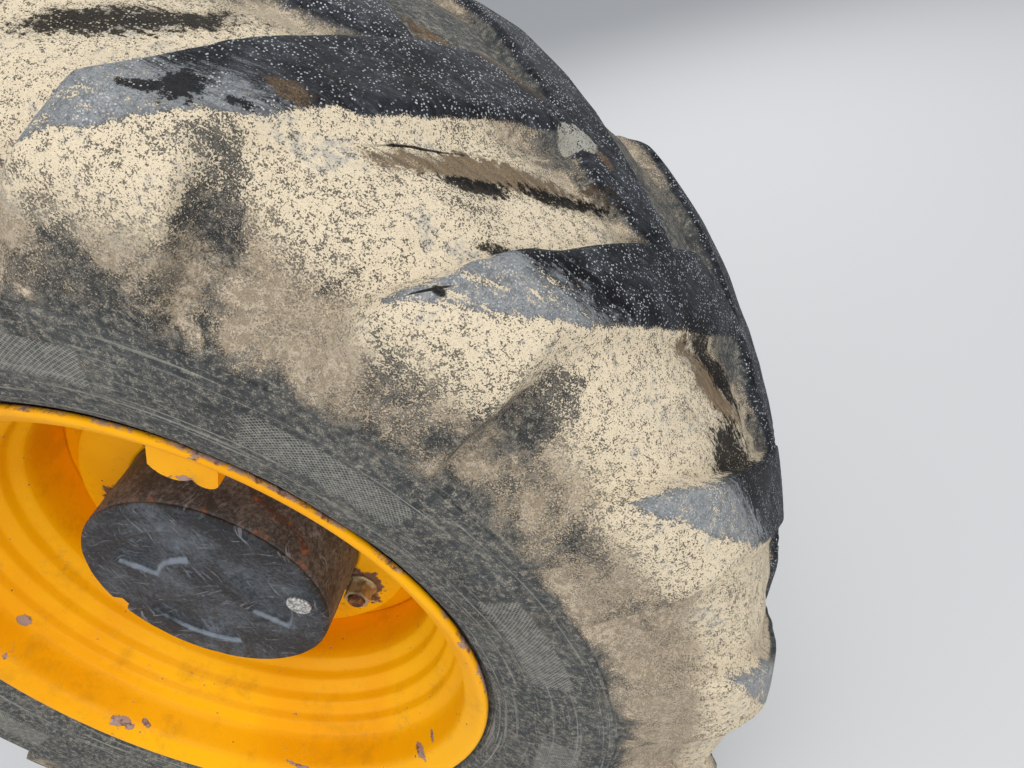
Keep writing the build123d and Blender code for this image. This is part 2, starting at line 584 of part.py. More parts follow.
def steering_arm():
    """Forged arm from its bolted foot on the knuckle's rear side to the ball joint eye."""
    middle_y = ARM_PAD_Y + ARM_PAD_DEPTH / 2
    foot = Pos(ARM_PAD_X - ARM_FOOT_THICKNESS / 2, middle_y, ARM_PAD_CENTRE_Z) * Box(
        ARM_FOOT_THICKNESS, ARM_PAD_DEPTH, ARM_PAD_HEIGHT
    )
    foot_x = ARM_PAD_X - ARM_FOOT_THICKNESS
    eye = Pos(ARM_EYE_X, ARM_EYE_Y) * Circle(ARM_EYE_RADIUS * 0.8)
    root = Line((foot_x + 2.0, ARM_PAD_Y), (foot_x + 2.0, BELL_MOUTH_Y))
    plan = make_hull(eye.edges() + root.edges())
    beam = Pos(0, 0, ARM_PAD_CENTRE_Z - ARM_THICKNESS / 2) * extrude(plan, ARM_THICKNESS)
    boss = Pos(ARM_EYE_X, ARM_EYE_Y, ARM_PAD_CENTRE_Z) * Cylinder(ARM_EYE_RADIUS, ARM_EYE_HEIGHT)
    bore = Pos(ARM_EYE_X, ARM_EYE_Y, ARM_PAD_CENTRE_Z) * Cylinder(ARM_BORE_RADIUS, ARM_EYE_HEIGHT * 2)
    arm = foot + beam + boss - bore
    for bolt in arm_bolt_places():
        arm -= arm_bolt_bar(bolt, ARM_BOLT_RADIUS + BOLT_HOLE_GAP, ARM_BOLT_LENGTH)
    return arm


def arm_bolts():
    """Four hexagon bolts that hold the steering arm."""
    bolts = []
    for y, z in arm_bolt_places():
        outer = ARM_PAD_X - ARM_FOOT_THICKNESS
        plane = Plane((outer - ARM_BOLT_HEAD, y, z), z_dir=(1, 0, 0))
        head = extrude(plane * RegularPolygon(ARM_BOLT_ACROSS_FLATS / 2, 6, major_radius=False), ARM_BOLT_HEAD)
        bolts.append(head + arm_bolt_bar((y, z), ARM_BOLT_RADIUS, ARM_BOLT_LENGTH))
    return bolts


def steering_stop():
    """Stop screw in the knuckle's front lug, with its lock nut."""
    x, z = on_circle(STOP_CIRCLE_RADIUS, STOP_ANGLE)
    tip = STOP_FACE_Y + STOP_STANDOUT
    screw = rod(STOP_RADIUS, STOP_FACE_Y - STOP_LUG_LENGTH, tip, x, z)
    head = hexagon(STOP_ACROSS_FLATS, tip - STOP_HEAD, tip, x, z)
    lock = hexagon(STOP_ACROSS_FLATS, STOP_FACE_Y, STOP_FACE_Y + STOP_HEAD * 0.7, x, z)
    return screw + head + lock


NODES = {
    "tyre": tyre,
    "rim": rim,
    "wheel_disc": wheel_disc,
    "hub": hub,
    "drive_cover": drive_cover,
    "oil_plug": oil_plug,
    "wheel_studs": wheel_studs,
    "wheel_nuts": wheel_nuts,
    "valve_stem": valve_stem,
    "valve_guard": valve_guard,
    "spindle": spindle,
    "spindle_bolts": spindle_bolts,
    "knuckle": knuckle,
    "kingpin_bush_upper": lambda: kingpin_bush(1),
    "kingpin_bush_lower": lambda: kingpin_bush(-1),
    "steering_arm": steering_arm,
    "arm_bolts": arm_bolts,
    "steering_stop": steering_stop,
}

os.makedirs("parts", exist_ok=True)
for name, make in NODES.items():
    shape = make()
    if isinstance(shape, list):
        shape = Compound(children=shape)
    export_step(shape, f"parts/{name}.step")
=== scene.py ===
# %% [markdown]
# # A worn telehandler wheel, dressed around its CAD frame
# The CAD model already holds every piece at its real size. This lesson gives those pieces their looks: a tyre with
# rounded, mud-caked lugs, a pressed yellow rim, a dusty black drum and the small steel parts. Each new surface is
# worked out with numpy from a section line or from two parameters, so that the formula can be read.

# %% Load the frame
import json
import math

import bpy
import numpy as np
from mathutils import Matrix, Vector

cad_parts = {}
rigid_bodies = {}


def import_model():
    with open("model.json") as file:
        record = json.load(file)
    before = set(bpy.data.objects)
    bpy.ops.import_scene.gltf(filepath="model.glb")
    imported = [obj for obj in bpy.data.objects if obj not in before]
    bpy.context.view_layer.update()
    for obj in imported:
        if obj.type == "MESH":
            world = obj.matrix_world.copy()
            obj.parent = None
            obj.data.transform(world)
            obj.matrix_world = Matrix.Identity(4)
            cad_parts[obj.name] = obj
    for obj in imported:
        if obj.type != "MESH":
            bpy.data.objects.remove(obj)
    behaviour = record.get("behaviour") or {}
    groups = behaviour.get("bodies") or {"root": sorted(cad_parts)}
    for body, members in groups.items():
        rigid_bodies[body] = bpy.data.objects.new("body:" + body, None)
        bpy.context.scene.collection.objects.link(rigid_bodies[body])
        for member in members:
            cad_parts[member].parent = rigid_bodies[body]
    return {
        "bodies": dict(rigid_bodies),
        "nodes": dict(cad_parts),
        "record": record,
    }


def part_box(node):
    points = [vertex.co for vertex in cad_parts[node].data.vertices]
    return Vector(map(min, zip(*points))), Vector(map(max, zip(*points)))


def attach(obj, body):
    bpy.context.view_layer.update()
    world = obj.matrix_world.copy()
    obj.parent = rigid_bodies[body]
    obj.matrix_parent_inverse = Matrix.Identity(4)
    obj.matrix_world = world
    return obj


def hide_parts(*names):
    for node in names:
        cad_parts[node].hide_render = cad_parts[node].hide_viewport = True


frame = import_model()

loaded = set(frame["nodes"].values()) | set(frame["bodies"].values())
for leftover in [thing for thing in bpy.data.objects if thing not in loaded]:
    bpy.data.objects.remove(leftover)
bpy.context.view_layer.update()

# %% [markdown]
# ## One way to speak about places
# A wheel is easiest to describe by three numbers: the radius from its axis, the reach (how far outboard of the
# wheel's middle plane a point lies) and the angle round the axis, from the machine's front towards the top. The
# middle plane is read from the frame, so the lesson follows the CAD model if that moves.

# %% Wheel coordinates
tyre_low, tyre_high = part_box("tyre")
MIDDLE_Y = (tyre_low.y + tyre_high.y) / 2
TYRE_RADIUS = tyre_high.z
TYRE_HALF_WIDTH = (tyre_high.y - tyre_low.y) / 2
FLOOR_Z = tyre_low.z
MM = 0.001


def place(radius, reach, angle):
    """Points of the wheel: x = r cos(angle), y = middle - reach, z = r sin(angle), with the angle in radians."""
    radius, reach, angle = np.broadcast_arrays(radius, reach, angle)
    return np.stack([radius * np.cos(angle), MIDDLE_Y - reach, radius * np.sin(angle)], axis=-1)


print("tyre radius", round(TYRE_RADIUS, 4), "half width", round(TYRE_HALF_WIDTH, 4))

# %% [markdown]
# ## From a section line to a skin
# Pressed and turned parts have rounded corners. A section is first written as a few corner points, then sampled
# finely and averaged over a short window, which rounds each corner by about that window. A grid of points becomes a
# mesh in one step: quads between neighbours, triangles at a pole. The signed volume says which way the faces point,
# and the order is turned round where it is negative, so that every closed skin faces outwards.


# %% Section lines
def rounded(points, window, step=0.5):
    """Line through corner points (millimetres in, metres out) with rounded corners.
    Each sample becomes the mean of the samples within half a window, and the ends stay."""
    points = np.array(points, float)
    at = np.concatenate([[0.0], np.cumsum(np.linalg.norm(np.diff(points, axis=0), axis=1))])
    fine = np.linspace(0.0, at[-1], int(at[-1] / step) + 2)
    line = np.stack([np.interp(fine, at, points[:, k]) for k in (0, 1)], axis=1)
    half = max(int(window / step / 2), 1)
    before = 2 * line[0] - line[half:0:-1]
    after = 2 * line[-1] - line[-2:-half - 2:-1]
    padded = np.concatenate([before, line, after])
    mean = np.ones(2 * half + 1) / (2 * half + 1)
    return MM * np.stack([np.convolve(padded[:, k], mean, "valid") for k in (0, 1)], axis=1)


def spaced(line, count, bend=0.02):
    """count points of a line, closer together where it turns: weight = length + bend x turn."""
    step = np.diff(line, axis=0)
    length = np.linalg.norm(step, axis=1)
    heading = np.unwrap(np.arctan2(step[:, 1], step[:, 0]))
    turn = np.abs(np.gradient(heading))
    at = np.concatenate([[0.0], np.cumsum(length + bend * turn)])
    wanted = np.linspace(0.0, at[-1], count)
    return np.stack([np.interp(wanted, at, line[:, k]) for k in (0, 1)], axis=1)


sample = rounded([(0.0, 0.0), (50.0, 0.0), (50.0, 50.0)], 10.0)
print("a rounded corner:", len(sample), "fine points, then", len(spaced(sample, 24)), "where it turns")


# %% Skins
# Which points of its grid each skin kept, by the name of its piece.
GRID_POINTS = {}


def skin(name, grid, ring=False, poles=(False, False)):
    """Mesh object over grid[row, column] of points. Columns always close on themselves.
    ring joins the last row to the first, and a pole is a row whose points are all one."""
    rows, columns = grid.shape[:2]
    index = np.arange(rows * columns).reshape(rows, columns)
    for pole, row in zip(poles, (0, rows - 1)):
        if pole:
            index[row] = index[row, 0]
    below = index if ring else index[:-1]
    above = np.roll(index, -1, axis=0) if ring else index[1:]
    quads = np.stack([below, np.roll(below, -1, axis=1), np.roll(above, -1, axis=1), above], axis=-1).reshape(-1, 4)
    corners = grid.reshape(-1, 3)
    first, third = corners[quads[:, 0]], corners[quads[:, 2]]
    second, fourth = corners[quads[:, 1]], corners[quads[:, 3]]
    halves = np.cross(second - first, third - first) + np.cross(third - first, fourth - first)
    if np.einsum("ij,ij->", first, halves) < 0:
        quads = quads[:, ::-1]
    used, quads = np.unique(quads, return_inverse=True)
    quads = quads.reshape(-1, 4)
    keep = quads != np.roll(quads, 1, axis=1)
    sizes = keep.sum(axis=1)
    mesh = bpy.data.meshes.new(name)
    mesh.vertices.add(len(used))
    mesh.vertices.foreach_set("co", corners[used].astype(np.float32).ravel())
    mesh.loops.add(int(sizes.sum()))
    mesh.loops.foreach_set("vertex_index", quads[keep].astype(np.int32))
    mesh.polygons.add(len(sizes))
    mesh.polygons.foreach_set("loop_start", np.concatenate([[0], np.cumsum(sizes)[:-1]]).astype(np.int32))
    mesh.update(calc_edges=True)
    mesh.shade_smooth()
    piece = bpy.data.objects.new(name, mesh)
    GRID_POINTS[piece.name] = used
    bpy.context.scene.collection.objects.link(piece)
    return piece


def record_on(piece, **values):
    """Stores one number for each grid point on the mesh, for the materials to read."""
    for name, numbers in values.items():
        layer = piece.data.attributes.new(name, "FLOAT", "POINT")
        layer.data.foreach_set("value", np.ravel(numbers)[GRID_POINTS[piece.name]].astype(np.float32))


def round_angles(columns):
    """Angles all round in radians, with the last one short of the first."""
    return np.linspace(0.0, 2 * math.pi, columns, endpoint=False)


def turned(name, line, columns, ring=True):
    """Ring or solid of revolution: the section line (radius, reach) carried round the wheel axis."""
    grid = place(line[:, 0][:, None], line[:, 1][:, None], round_angles(columns)[None, :])
    poles = (line[0, 0] < 1e-6, line[-1, 0] < 1e-6)
    return skin(name, grid, ring=ring, poles=poles)


print("a ring needs", len(round_angles(8)), "angles for 8 columns, because the skin closes itself")


# %% Dressing a piece
FINISHES = {}


def dress(piece, body, slot, *nodes):
    """Ties a new piece to its CAD body, its material slot and the nodes that it stands for."""
    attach(piece, body)
    piece.data.materials.append(FINISHES[slot])
    if nodes:
        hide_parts(*nodes)
    print(piece.name, "triangles", sum(len(face.vertices) - 2 for face in piece.data.polygons))


# %% [markdown]
# ## Writing a finish as sums
# A worn finish is mostly arithmetic: a base, a mask for dust, a mask for chips. Node by node that is hard to read, so
# one small class wraps a node's output and lets Python's own operators add the Math nodes. Every other node comes
# from one method. Colours are given as they look on screen, 0 to 255, and turned into linear light.


# %% Wires
class Wire:
    """One output of a material's node. Sums, products and powers of wires add the Math nodes that they name."""

    def __init__(self, tree, socket):
        self.tree = tree
        self.socket = socket

    def node(self, kind, settings=None, sockets=None, out=0):
        """Adds a node: its settings first, then a value or a wire for each named or numbered socket."""
        made = self.tree.nodes.new("ShaderNode" + kind)
        for name, value in (settings or {}).items():
            setattr(made, name, value)
        for name, value in (sockets or {}).items():
            if isinstance(value, Wire):
                self.tree.links.new(value.socket, made.inputs[name])
            else:
                made.inputs[name].default_value = value
        return Wire(self.tree, made.outputs[out])

    def math(self, operation, *terms):
        return self.node("Math", {"operation": operation}, dict(enumerate(terms)))

    def __add__(self, other):
        return self.math("ADD", self, other)

    def __radd__(self, other):
        return self.math("ADD", other, self)

    def __sub__(self, other):
        return self.math("SUBTRACT", self, other)

    def __rsub__(self, other):
        return self.math("SUBTRACT", other, self)

    def __mul__(self, other):
        return self.math("MULTIPLY", self, other)

    def __rmul__(self, other):
        return self.math("MULTIPLY", other, self)

    def __truediv__(self, other):
        return self.math("DIVIDE", self, other)

    def __pow__(self, other):
        return self.math("POWER", self, other)

    def bigger(self, other):
        return self.math("MAXIMUM", self, other)

    def smaller(self, other):
        return self.math("MINIMUM", self, other)

    def absolute(self):
        return self.math("ABSOLUTE", self)

    def floor(self):
        return self.math("FLOOR", self)

    def sine(self):
        return self.math("SINE", self)

    def step(self, low, high):
        """0 below low and 1 above high, smooth between, as the numpy helper smooth; turned round if low > high."""
        return self.node("MapRange", {"interpolation_type": "SMOOTHSTEP"}, {0: self, 1: low, 2: high, 3: 0.0, 4: 1.0})

    def noise(self, scale, detail=4.0, rough=0.6, bend=0.0):
        """Cloudy noise about 0.5 at this place, where self is a vector."""
        return self.node(
            "TexNoise", {"noise_dimensions": "3D"},
            {"Vector": self, "Scale": scale, "Detail": detail, "Roughness": rough, "Distortion": bend},
        )

    def cells(self, scale):
        """Distance to the nearest of many scattered points, in cells."""
        return self.node("TexVoronoi", {}, {"Vector": self, "Scale": scale}, "Distance")

    def stretched(self, x, y, z):
        """This vector with each of its parts multiplied."""
        return self.node("VectorMath", {"operation": "MULTIPLY"}, {0: self, 1: (x, y, z)})

    def swirled(self, scale, far):
        """This place pushed by up to about far metres, by a slow noise, so that what is drawn out there bends."""
        push = self.node("TexNoise", {}, {"Vector": self, "Scale": scale}, "Color")
        push = self.node("VectorMath", {"operation": "SCALE"}, {0: push, 3: far})
        return self.node("VectorMath", {"operation": "ADD"}, {0: self, 1: push})

    def between(self, first, second):
        """The colour at this share of the way from the first to the second."""
        return self.node("Mix", {"data_type": "RGBA", "clamp_factor": True}, {0: self, 6: first, 7: second}, 2)

    def colour_to(self, other, share):
        """This colour mixed towards another by a share."""
        return share.between(self, other)

    def attribute(self, name):
        """A number that record_on stored on the mesh."""
        return self.node("Attribute", {"attribute_name": name}, out="Fac")


# %% Colours and shaders
def screen(red, green, blue):
    """A colour as seen on screen, 0 to 255, as linear light with an alpha of 1."""
    linear = [
        value / 255 / 12.92 if value < 11 else ((value / 255 + 0.055) / 1.055) ** 2.4
        for value in (red, green, blue)
    ]
    return (*linear, 1.0)


def finish(name, **constants):
    """A new material. Gives the material, its shader, and the object coordinates to build on."""
    material = bpy.data.materials.new(name)
    material.use_nodes = True
    tree = material.node_tree
    shader = tree.nodes["Principled BSDF"]
    for socket, value in constants.items():
        shader.inputs[socket.replace("_", " ")].default_value = value
    return material, shader, Wire(tree, None).node("TexCoord", out="Object")


def feed(shader, socket, value):
    """Links a wire to one of the shader's sockets."""
    value.tree.links.new(value.socket, shader.inputs[socket])


def bump(shader, height, distance, strength=1.0):
    """Height field as a bump: distance is how far, in metres, a height of 1 stands out."""
    sockets = {"Height": height, "Distance": distance, "Strength": strength}
    feed(shader, "Normal", height.node("Bump", sockets=sockets, out="Normal"))


def wheel_parts(spot):
    """Radius, angle in turns (0 at the front, a quarter at the top) and reach of a place, in metres."""
    x, y, z = (spot.node("SeparateXYZ", sockets={0: spot}, out=k) for k in range(3))
    return (x * x + z * z) ** 0.5, x.math("ARCTAN2", z, x) * (0.5 / math.pi), MIDDLE_Y - y


print("a grey of 128 on screen is", round(screen(128, 128, 128)[0], 4), "in linear light")


# %% [markdown]
# ## Rubber and dried mud
# Dried mud on a tyre isn't a coat of paint. It is a crowd of pale flecks over grey rubber, and what changes from
# place to place is how many there are. So the mesh stores a share of cover, a fine noise is cut at that share, and
# the same noise gives a dense cream crust on the shoulder, a thin tan film below it and a few grains on the lug tops.
# A few marks that catch the eye, such as a clod or a tar stain, are ovals at their own angle and place.


# %% Marks on the tread
MARK_RADIUS = 0.6


def mark(angle, along, degrees, across, half_round, half_across, turn=0.0):
    """Distance from the middle of an oval on the tread, 1 at its edge. u and v are the lengths round the wheel and
    across the tread from its middle. Both are turned by an angle, then divided by the oval's half axes."""
    u = (angle - degrees / 360) * (2 * math.pi * MARK_RADIUS)
    v = along - MM * across
    cosine, sine = math.cos(math.radians(turn)), math.sin(math.radians(turn))
    long_part = (u * cosine + v * sine) / (MM * half_round)
    short_part = (v * cosine - u * sine) / (MM * half_across)
    return (long_part * long_part + short_part * short_part) ** 0.5


# Each mark: degrees round the wheel, mm across, half its length, half its width, and its turn in degrees.
TAR_MARKS = [
    (57.9, 170.0, 15.0, 5.0, 20.0), (56.4, 160.0, 13.0, 12.0, 0.0), (53.3, 157.0, 9.0, 4.5, 10.0),
    (36.0, 143.0, 26.0, 8.0, 20.0), (32.4, 131.0, 16.0, 4.0, 15.0), (29.4, 126.0, 22.0, 4.5, 4.0),
    (50.2, 105.0, 14.0, 2.5, -20.0), (47.8, 79.0, 8.0, 2.2, 0.0), (11.0, 108.0, 42.0, 34.0, 25.0),
    (40.4, 106.0, 26.0, 6.0, 33.0), (17.2, 58.0, 58.0, 11.0, 10.0), (35.0, 62.0, 34.0, 7.0, 33.0),
    (63.0, 96.0, 60.0, 16.0, 30.0),
]
BROWN_MARKS = [
    (39.8, 86.0, 80.0, 11.0, 33.0), (33.2, -4.0, 9.0, 6.0, -12.0), (45.5, -34.0, 52.0, 12.0, -12.0),
    (16.5, 74.0, 56.0, 16.0, 10.0), (51.9, 132.0, 12.0, 7.0, 0.0),
]
BARE_MARKS = [
    (40.2, 122.0, 36.0, 12.0, 33.0), (18.5, 128.0, 24.0, 12.0, 20.0), (44.5, 217.0, 20.0, 3.0, 54.0),
    (53.0, 200.0, 16.0, 26.0, 15.0), (29.0, 202.0, 18.0, 24.0, 35.0), (62.5, 298.0, 74.0, 20.0, 0.0),
]
CLODS = [(35.6, -6.0, 17.0, 12.0, 10.0)]
CRACKS = [(44.6, 106.0, 27.0, 1.3, 38.0), (39.9, 206.0, 12.0, 1.0, 40.0), (39.4, 204.0, 4.5, 2.6, 0.0)]


def nearest(angle, along, marks):
    """Smallest of the distances from a list of marks."""
    nearness = None
    for degrees, across, half_round, half_across, turn in marks:
        away = mark(angle, along, degrees, across, half_round, half_across, turn)
        nearness = away if nearness is None else nearness.smaller(away)
    return nearness


print("marks", sum(len(marks) for marks in (TAR_MARKS, BROWN_MARKS, BARE_MARKS, CLODS, CRACKS)))

# %% Tyre noises
def ring_grain(spot, radius, fine, slow):
    """Noise that runs in rings: the place is replaced by the radius, stretched, and a slowly changing place."""
    x, z = (spot.node("SeparateXYZ", sockets={0: spot}, out=k) for k in (0, 2))
    rings = spot.node("CombineXYZ", sockets={0: radius * fine, 1: x * slow, 2: z * slow})
    return rings.noise(1.0, 4.0, 0.7)


def tyre_noises(spot):
    """Five noises that all the tyre's layers share: patches a hand wide, blotches, grains, flecks under a
    millimetre, and streaks, which are drawn out across the tread and bent."""
    broad = spot.noise(7.0, 3.0, 0.6, 0.5)
    blotch = spot.noise(26.0, 4.0, 0.68, 0.5)
    grain = spot.noise(190.0, 3.0, 0.72)
    fleck = spot.noise(840.0, 3.0, 0.72)
    streak = spot.swirled(9.0, 0.05).stretched(1.0, 5.0, 1.0).noise(46.0, 4.0, 0.75)
    return broad, blotch, grain, fleck, streak


# %% [markdown]
# Clean rubber isn't one grey either. The wall has darker patches, rings left by the mould and pale grains. The lug
# tops are nearly black where they run on the road, full of white grit, and rubbed pale at their shoulder end.

# %% Bare rubber and lug tops
def bare_rubber(spot, radius, noises):
    """Two greys, darker patches over them, pale rings on the wall and pale grains everywhere."""
    broad, blotch, grain, fleck, streak = noises
    rings = ring_grain(spot, radius, 260.0, 5.0)
    colour = (blotch * 0.35 + grain * 0.65).step(0.38, 0.62).between(screen(66, 68, 69), screen(100, 100, 96))
    colour = colour.colour_to(screen(46, 48, 50), (broad * 0.7 + streak * 0.3).step(0.50, 0.62) * 0.7)
    colour = colour.colour_to(screen(150, 150, 142), rings.step(0.54, 0.68) * radius.step(0.475, 0.44) * 0.7)
    return colour.colour_to(screen(172, 162, 144), (grain * 0.4 + fleck * 0.6).step(0.53, 0.59) * 0.6)


def grit_share(spot, scuff, grain):
    """White grit: dots at the middle of small cells, kept where a slower noise is high."""
    crowd = spot.noise(60.0, 3.0, 0.5) + (grain - 0.5) * 0.8 - scuff * 0.06
    return spot.cells(430.0).step(0.34, 0.18) * crowd.step(0.38, 0.54)


def lug_tops(scuff, grit, noises):
    """Near black, smeared pale where scuff says so, with the grit on top."""
    _, blotch, _, fleck, streak = noises
    colour = (blotch * 0.5 + streak * 0.5).step(0.40, 0.62).between(screen(26, 27, 30), screen(54, 56, 61))
    smear = ((streak - 0.5) * 2.4 + (blotch - 0.5) * 1.0 + (fleck - 0.5) * 1.6 + scuff * 0.92).step(0.22, 0.98)
    return colour.colour_to(screen(146, 149, 151), smear * 0.86).colour_to(screen(198, 200, 202), grit * 0.85)


# %% [markdown]
# The mud itself has two parts: a thin film that only tints the rubber, and the flecks of crust over it. Both follow
# the cover, and the crust turns from cream clay to brown earth where the mesh says so.

# %% Dried mud
def thin_film(cover, grain):
    """Tan dust that fills the rubber's grain, a little paler under a thick cover."""
    dust = grain.step(0.40, 0.60).between(screen(80, 75, 69), screen(112, 103, 91))
    return dust.colour_to(screen(118, 111, 99), cover.step(0.55, 0.95))


def crust(brown, clod, loose, noises):
    """Cream clay with grey blotches, brown earth by the tint, and grey stone where a clod sticks."""
    broad, blotch, grain, _, _ = noises
    tint = (brown + (broad - 0.5) * 0.9 + (grain - 0.5) * 0.5).step(0.30, 0.85)
    earth = grain.step(0.42, 0.56).between(screen(158, 142, 121), screen(208, 189, 164))
    colour = loose.step(0.36, 0.50).between(screen(192, 178, 153), screen(222, 206, 178))
    colour = colour.colour_to(screen(166, 164, 158), (blotch * 0.6 + grain * 0.4).step(0.53, 0.63) * 0.7)
    return colour.colour_to(earth, tint * 0.85).colour_to(screen(156, 155, 146), clod * 0.9)


# %% Hatched panels
HATCH_COUNT = 700
HATCH_PITCH = 0.0036


def hatched(radius, angle, panel):
    """Two families of fine ribs that cross: sines of the angle plus, and minus, the radius."""
    whole = 2 * math.pi
    one = ((angle * HATCH_COUNT + radius / HATCH_PITCH) * whole).sine()
    other = ((angle * HATCH_COUNT - radius / HATCH_PITCH) * whole).sine()
    return one.bigger(other).step(-0.2, 1.0) * panel


# %% Tyre finish
def tyre_rubber():
    """Bare rubber, lug tops, thin film, crust and stains, each laid over the one before by a share of its own."""
    material, shader, spot = finish("tyre_rubber", Specular_IOR_Level=0.12)
    radius, angle, _ = wheel_parts(spot)
    names = ("top", "mud", "brown", "scuff", "panel", "along")
    top, mud, brown, scuff, panel, along = (spot.attribute(name) for name in names)
    noises = broad, blotch, grain, fleck, streak = tyre_noises(spot)

    edge = (grain - 0.5) * 2.4 + (blotch - 0.5) * 1.6 + (fleck - 0.5) * 1.2 + (streak - 0.5) * 1.8
    tar = (nearest(angle, along, TAR_MARKS) + edge).step(1.15, 0.85)
    earth = (nearest(angle, along, BROWN_MARKS) + edge).step(1.25, 0.80)
    swept = (nearest(angle, along, BARE_MARKS) + edge).step(1.7, 0.5)
    clod = (nearest(angle, along, CLODS) + edge * 0.3).step(1.1, 0.9)
    split = (nearest(angle, along, CRACKS) + edge * 0.5).step(1.2, 0.8)

    grit = grit_share(spot, scuff, grain)
    on_top = (top + (fleck - 0.5) * 0.9 + (blotch - 0.5) * 0.9 + scuff * (streak - 0.56) * 2.4).step(0.28, 0.70)
    under = bare_rubber(spot, radius, noises).colour_to(lug_tops(scuff, grit, noises), on_top)

    cover = (mud + (broad - 0.5) * 1.1 + (blotch - 0.5) * 1.2 + (streak - 0.5) * 0.7).smaller(0.86)
    cover = (cover * (1.0 - on_top * (1.0 - scuff * 0.4)) * (1.0 - swept * 0.38)).bigger(clod * 0.95)
    film = cover.step(0.05, 0.75) * (1.0 - on_top) * (0.65 + cover.step(0.55, 0.95) * 0.25)
    under = under.colour_to(thin_film(cover, grain), film)
    ribs = hatched(radius, angle, panel)
    # Painted highlight: the hatch ribs are coloured pale, as if light caught their crests.
    under = under.colour_to(screen(164, 163, 154), ribs * (grain + 0.15) * 0.9)

    loose = fleck * 0.52 + grain * 0.28 + streak * 0.2
    most = 0.535 + (blotch * 0.5 + streak * 0.5 - 0.5) * 0.30
    flecked = ((cover * 0.34 + 0.322).smaller(most) - loose).step(-0.020, 0.020)
    colour = under.colour_to(crust(brown, clod, loose, noises), flecked)
    stain = (loose * 0.75 + streak * 0.25).step(0.42, 0.56).between(screen(62, 50, 39), screen(122, 99, 72))
    colour = colour.colour_to(stain, earth * 0.85)
    colour = colour.colour_to(screen(12, 12, 14), (tar * (1.0 - grit * 0.8)).bigger(split) * 0.95)
    feed(shader, "Base Color", colour)
    feed(shader, "Roughness", 0.93 - on_top * 0.26 - tar * 0.12 + (grain - 0.5) * 0.2)

    raised = (mud * 0.30 + 0.305 - loose).step(-0.05, 0.05)
    bump(shader, raised * 0.4 + grain * 0.4 + fleck * 0.2 + ribs * 0.5, 0.0016, 0.9)
    return material


# %% [markdown]
# ## Yellow enamel
# Rim paint is smooth and half glossy. It is dusty in patches, thin over the edges, and chipped to a dull
# pink-grey primer with rust where tools and kerbs have struck the flange.

# %% Rim finish
STUD_COUNT = 5
STUD_PHASE = -50.7
STUD_CIRCLE = 161.5
LIP_RADIUS = 330.0
RIM_CHIPS = [
    (-139.1, 189.5, 30.0, 4.0, 0.0), (-134.0, 181.0, 14.0, 3.0, 10.0), (-53.7, 183.0, 20.0, 5.0, 20.0),
    (-49.0, 172.0, 12.0, 3.5, 30.0), (-172.9, 146.0, 12.0, 4.0, 0.0), (-93.0, 186.0, 30.0, 2.0, 5.0),
]


def rim_paint():
    """Yellow with faded and dirty patches, and bare primer wherever a chip, a rub, a knock or a rust ring says so."""
    material, shader, spot = finish("rim_paint", Specular_IOR_Level=0.15)
    radius, angle, reach = wheel_parts(spot)
    broad = spot.noise(4.0, 4.0, 0.5)
    grain = spot.noise(90.0, 6.0, 0.7)
    chips = spot.noise(26.0, 6.0, 0.74, 0.3)
    yellow = broad.step(0.40, 0.62).between(screen(252, 180, 0), screen(243, 164, 0))
    yellow = yellow.colour_to(screen(206, 142, 14), spot.noise(11.0, 7.0, 0.7).step(0.52, 0.68) * 0.5)
    yellow = yellow.colour_to(screen(196, 150, 62), (grain * 0.6 + chips * 0.5).step(0.60, 0.74) * 0.5)
    lip = radius.step(MM * (LIP_RADIUS - 14.0), MM * LIP_RADIUS)
    turn = (angle - STUD_PHASE / 360) * STUD_COUNT + 0.5
    across = (turn - turn.floor() - 0.5) * (2 * math.pi / STUD_COUNT) * radius
    from_stud = (across * across + (radius - MM * STUD_CIRCLE) ** 2.0) ** 0.5
    rust_ring = (from_stud + (chips - 0.5) * 0.09).step(0.034, 0.028) * reach.step(0.030, 0.034)
    bare = grain.step(0.48, 0.60).between(screen(166, 138, 128), screen(112, 74, 54))
    bare = bare.colour_to(screen(196, 178, 172), spot.noise(60.0, 5.0, 0.7).step(0.56, 0.66))
    struck = (nearest(angle, reach, RIM_CHIPS) + (grain - 0.5) * 4.0 + (chips - 0.5) * 2.0).step(1.3, 1.1)
    guard_edge = radius.step(0.246, 0.236) * reach.step(0.120, 0.130)
    chipped = (chips + lip * 0.075 + guard_edge * 0.12).step(0.675, 0.685)
    rubbed = (radius + (grain - 0.5) * 0.004).step(MM * (LIP_RADIUS - 1.6), MM * (LIP_RADIUS - 0.3))
    rubbed = rubbed * (chips + (broad - 0.5) * 0.5).step(0.46, 0.58)
    specks = spot.cells(52.0).step(0.085, 0.05) * spot.noise(16.0, 3.0, 0.6).step(0.46, 0.52)
    gone = chipped.bigger(rubbed).bigger(rust_ring).bigger(struck).bigger(specks)
    colour = yellow.colour_to(bare, gone).colour_to(screen(98, 64, 38), rust_ring * 0.75)
    feed(shader, "Base Color", colour)
    feed(shader, "Roughness", 0.44 + gone * 0.4 + (grain - 0.5) * 0.25)
    bump(shader, grain * 0.3 + spot.noise(420.0, 2.0) * 0.2 - gone * 0.5, 0.0009)
    return material


# %% [markdown]
# ## Black paint on a casting
# The drum's paint is dull and dusty. Its cover shows scratches and a painted highlight on every pocket wall that
# faces up, which the mesh stores. Its side is greyer, with rust along the joint and one run of rust down from it.

# %% Drum finish
drum_low, drum_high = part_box("drive_cover")
DRUM_RADIUS = drum_high.x / MM
FACE_REACH = (MIDDLE_Y - drum_low.y) / MM
JOINT_REACH = FACE_REACH - 7.0
RUN_REACH = 0.118
RUN_SLOPE = 0.245
RUN_WIDTH = 0.014


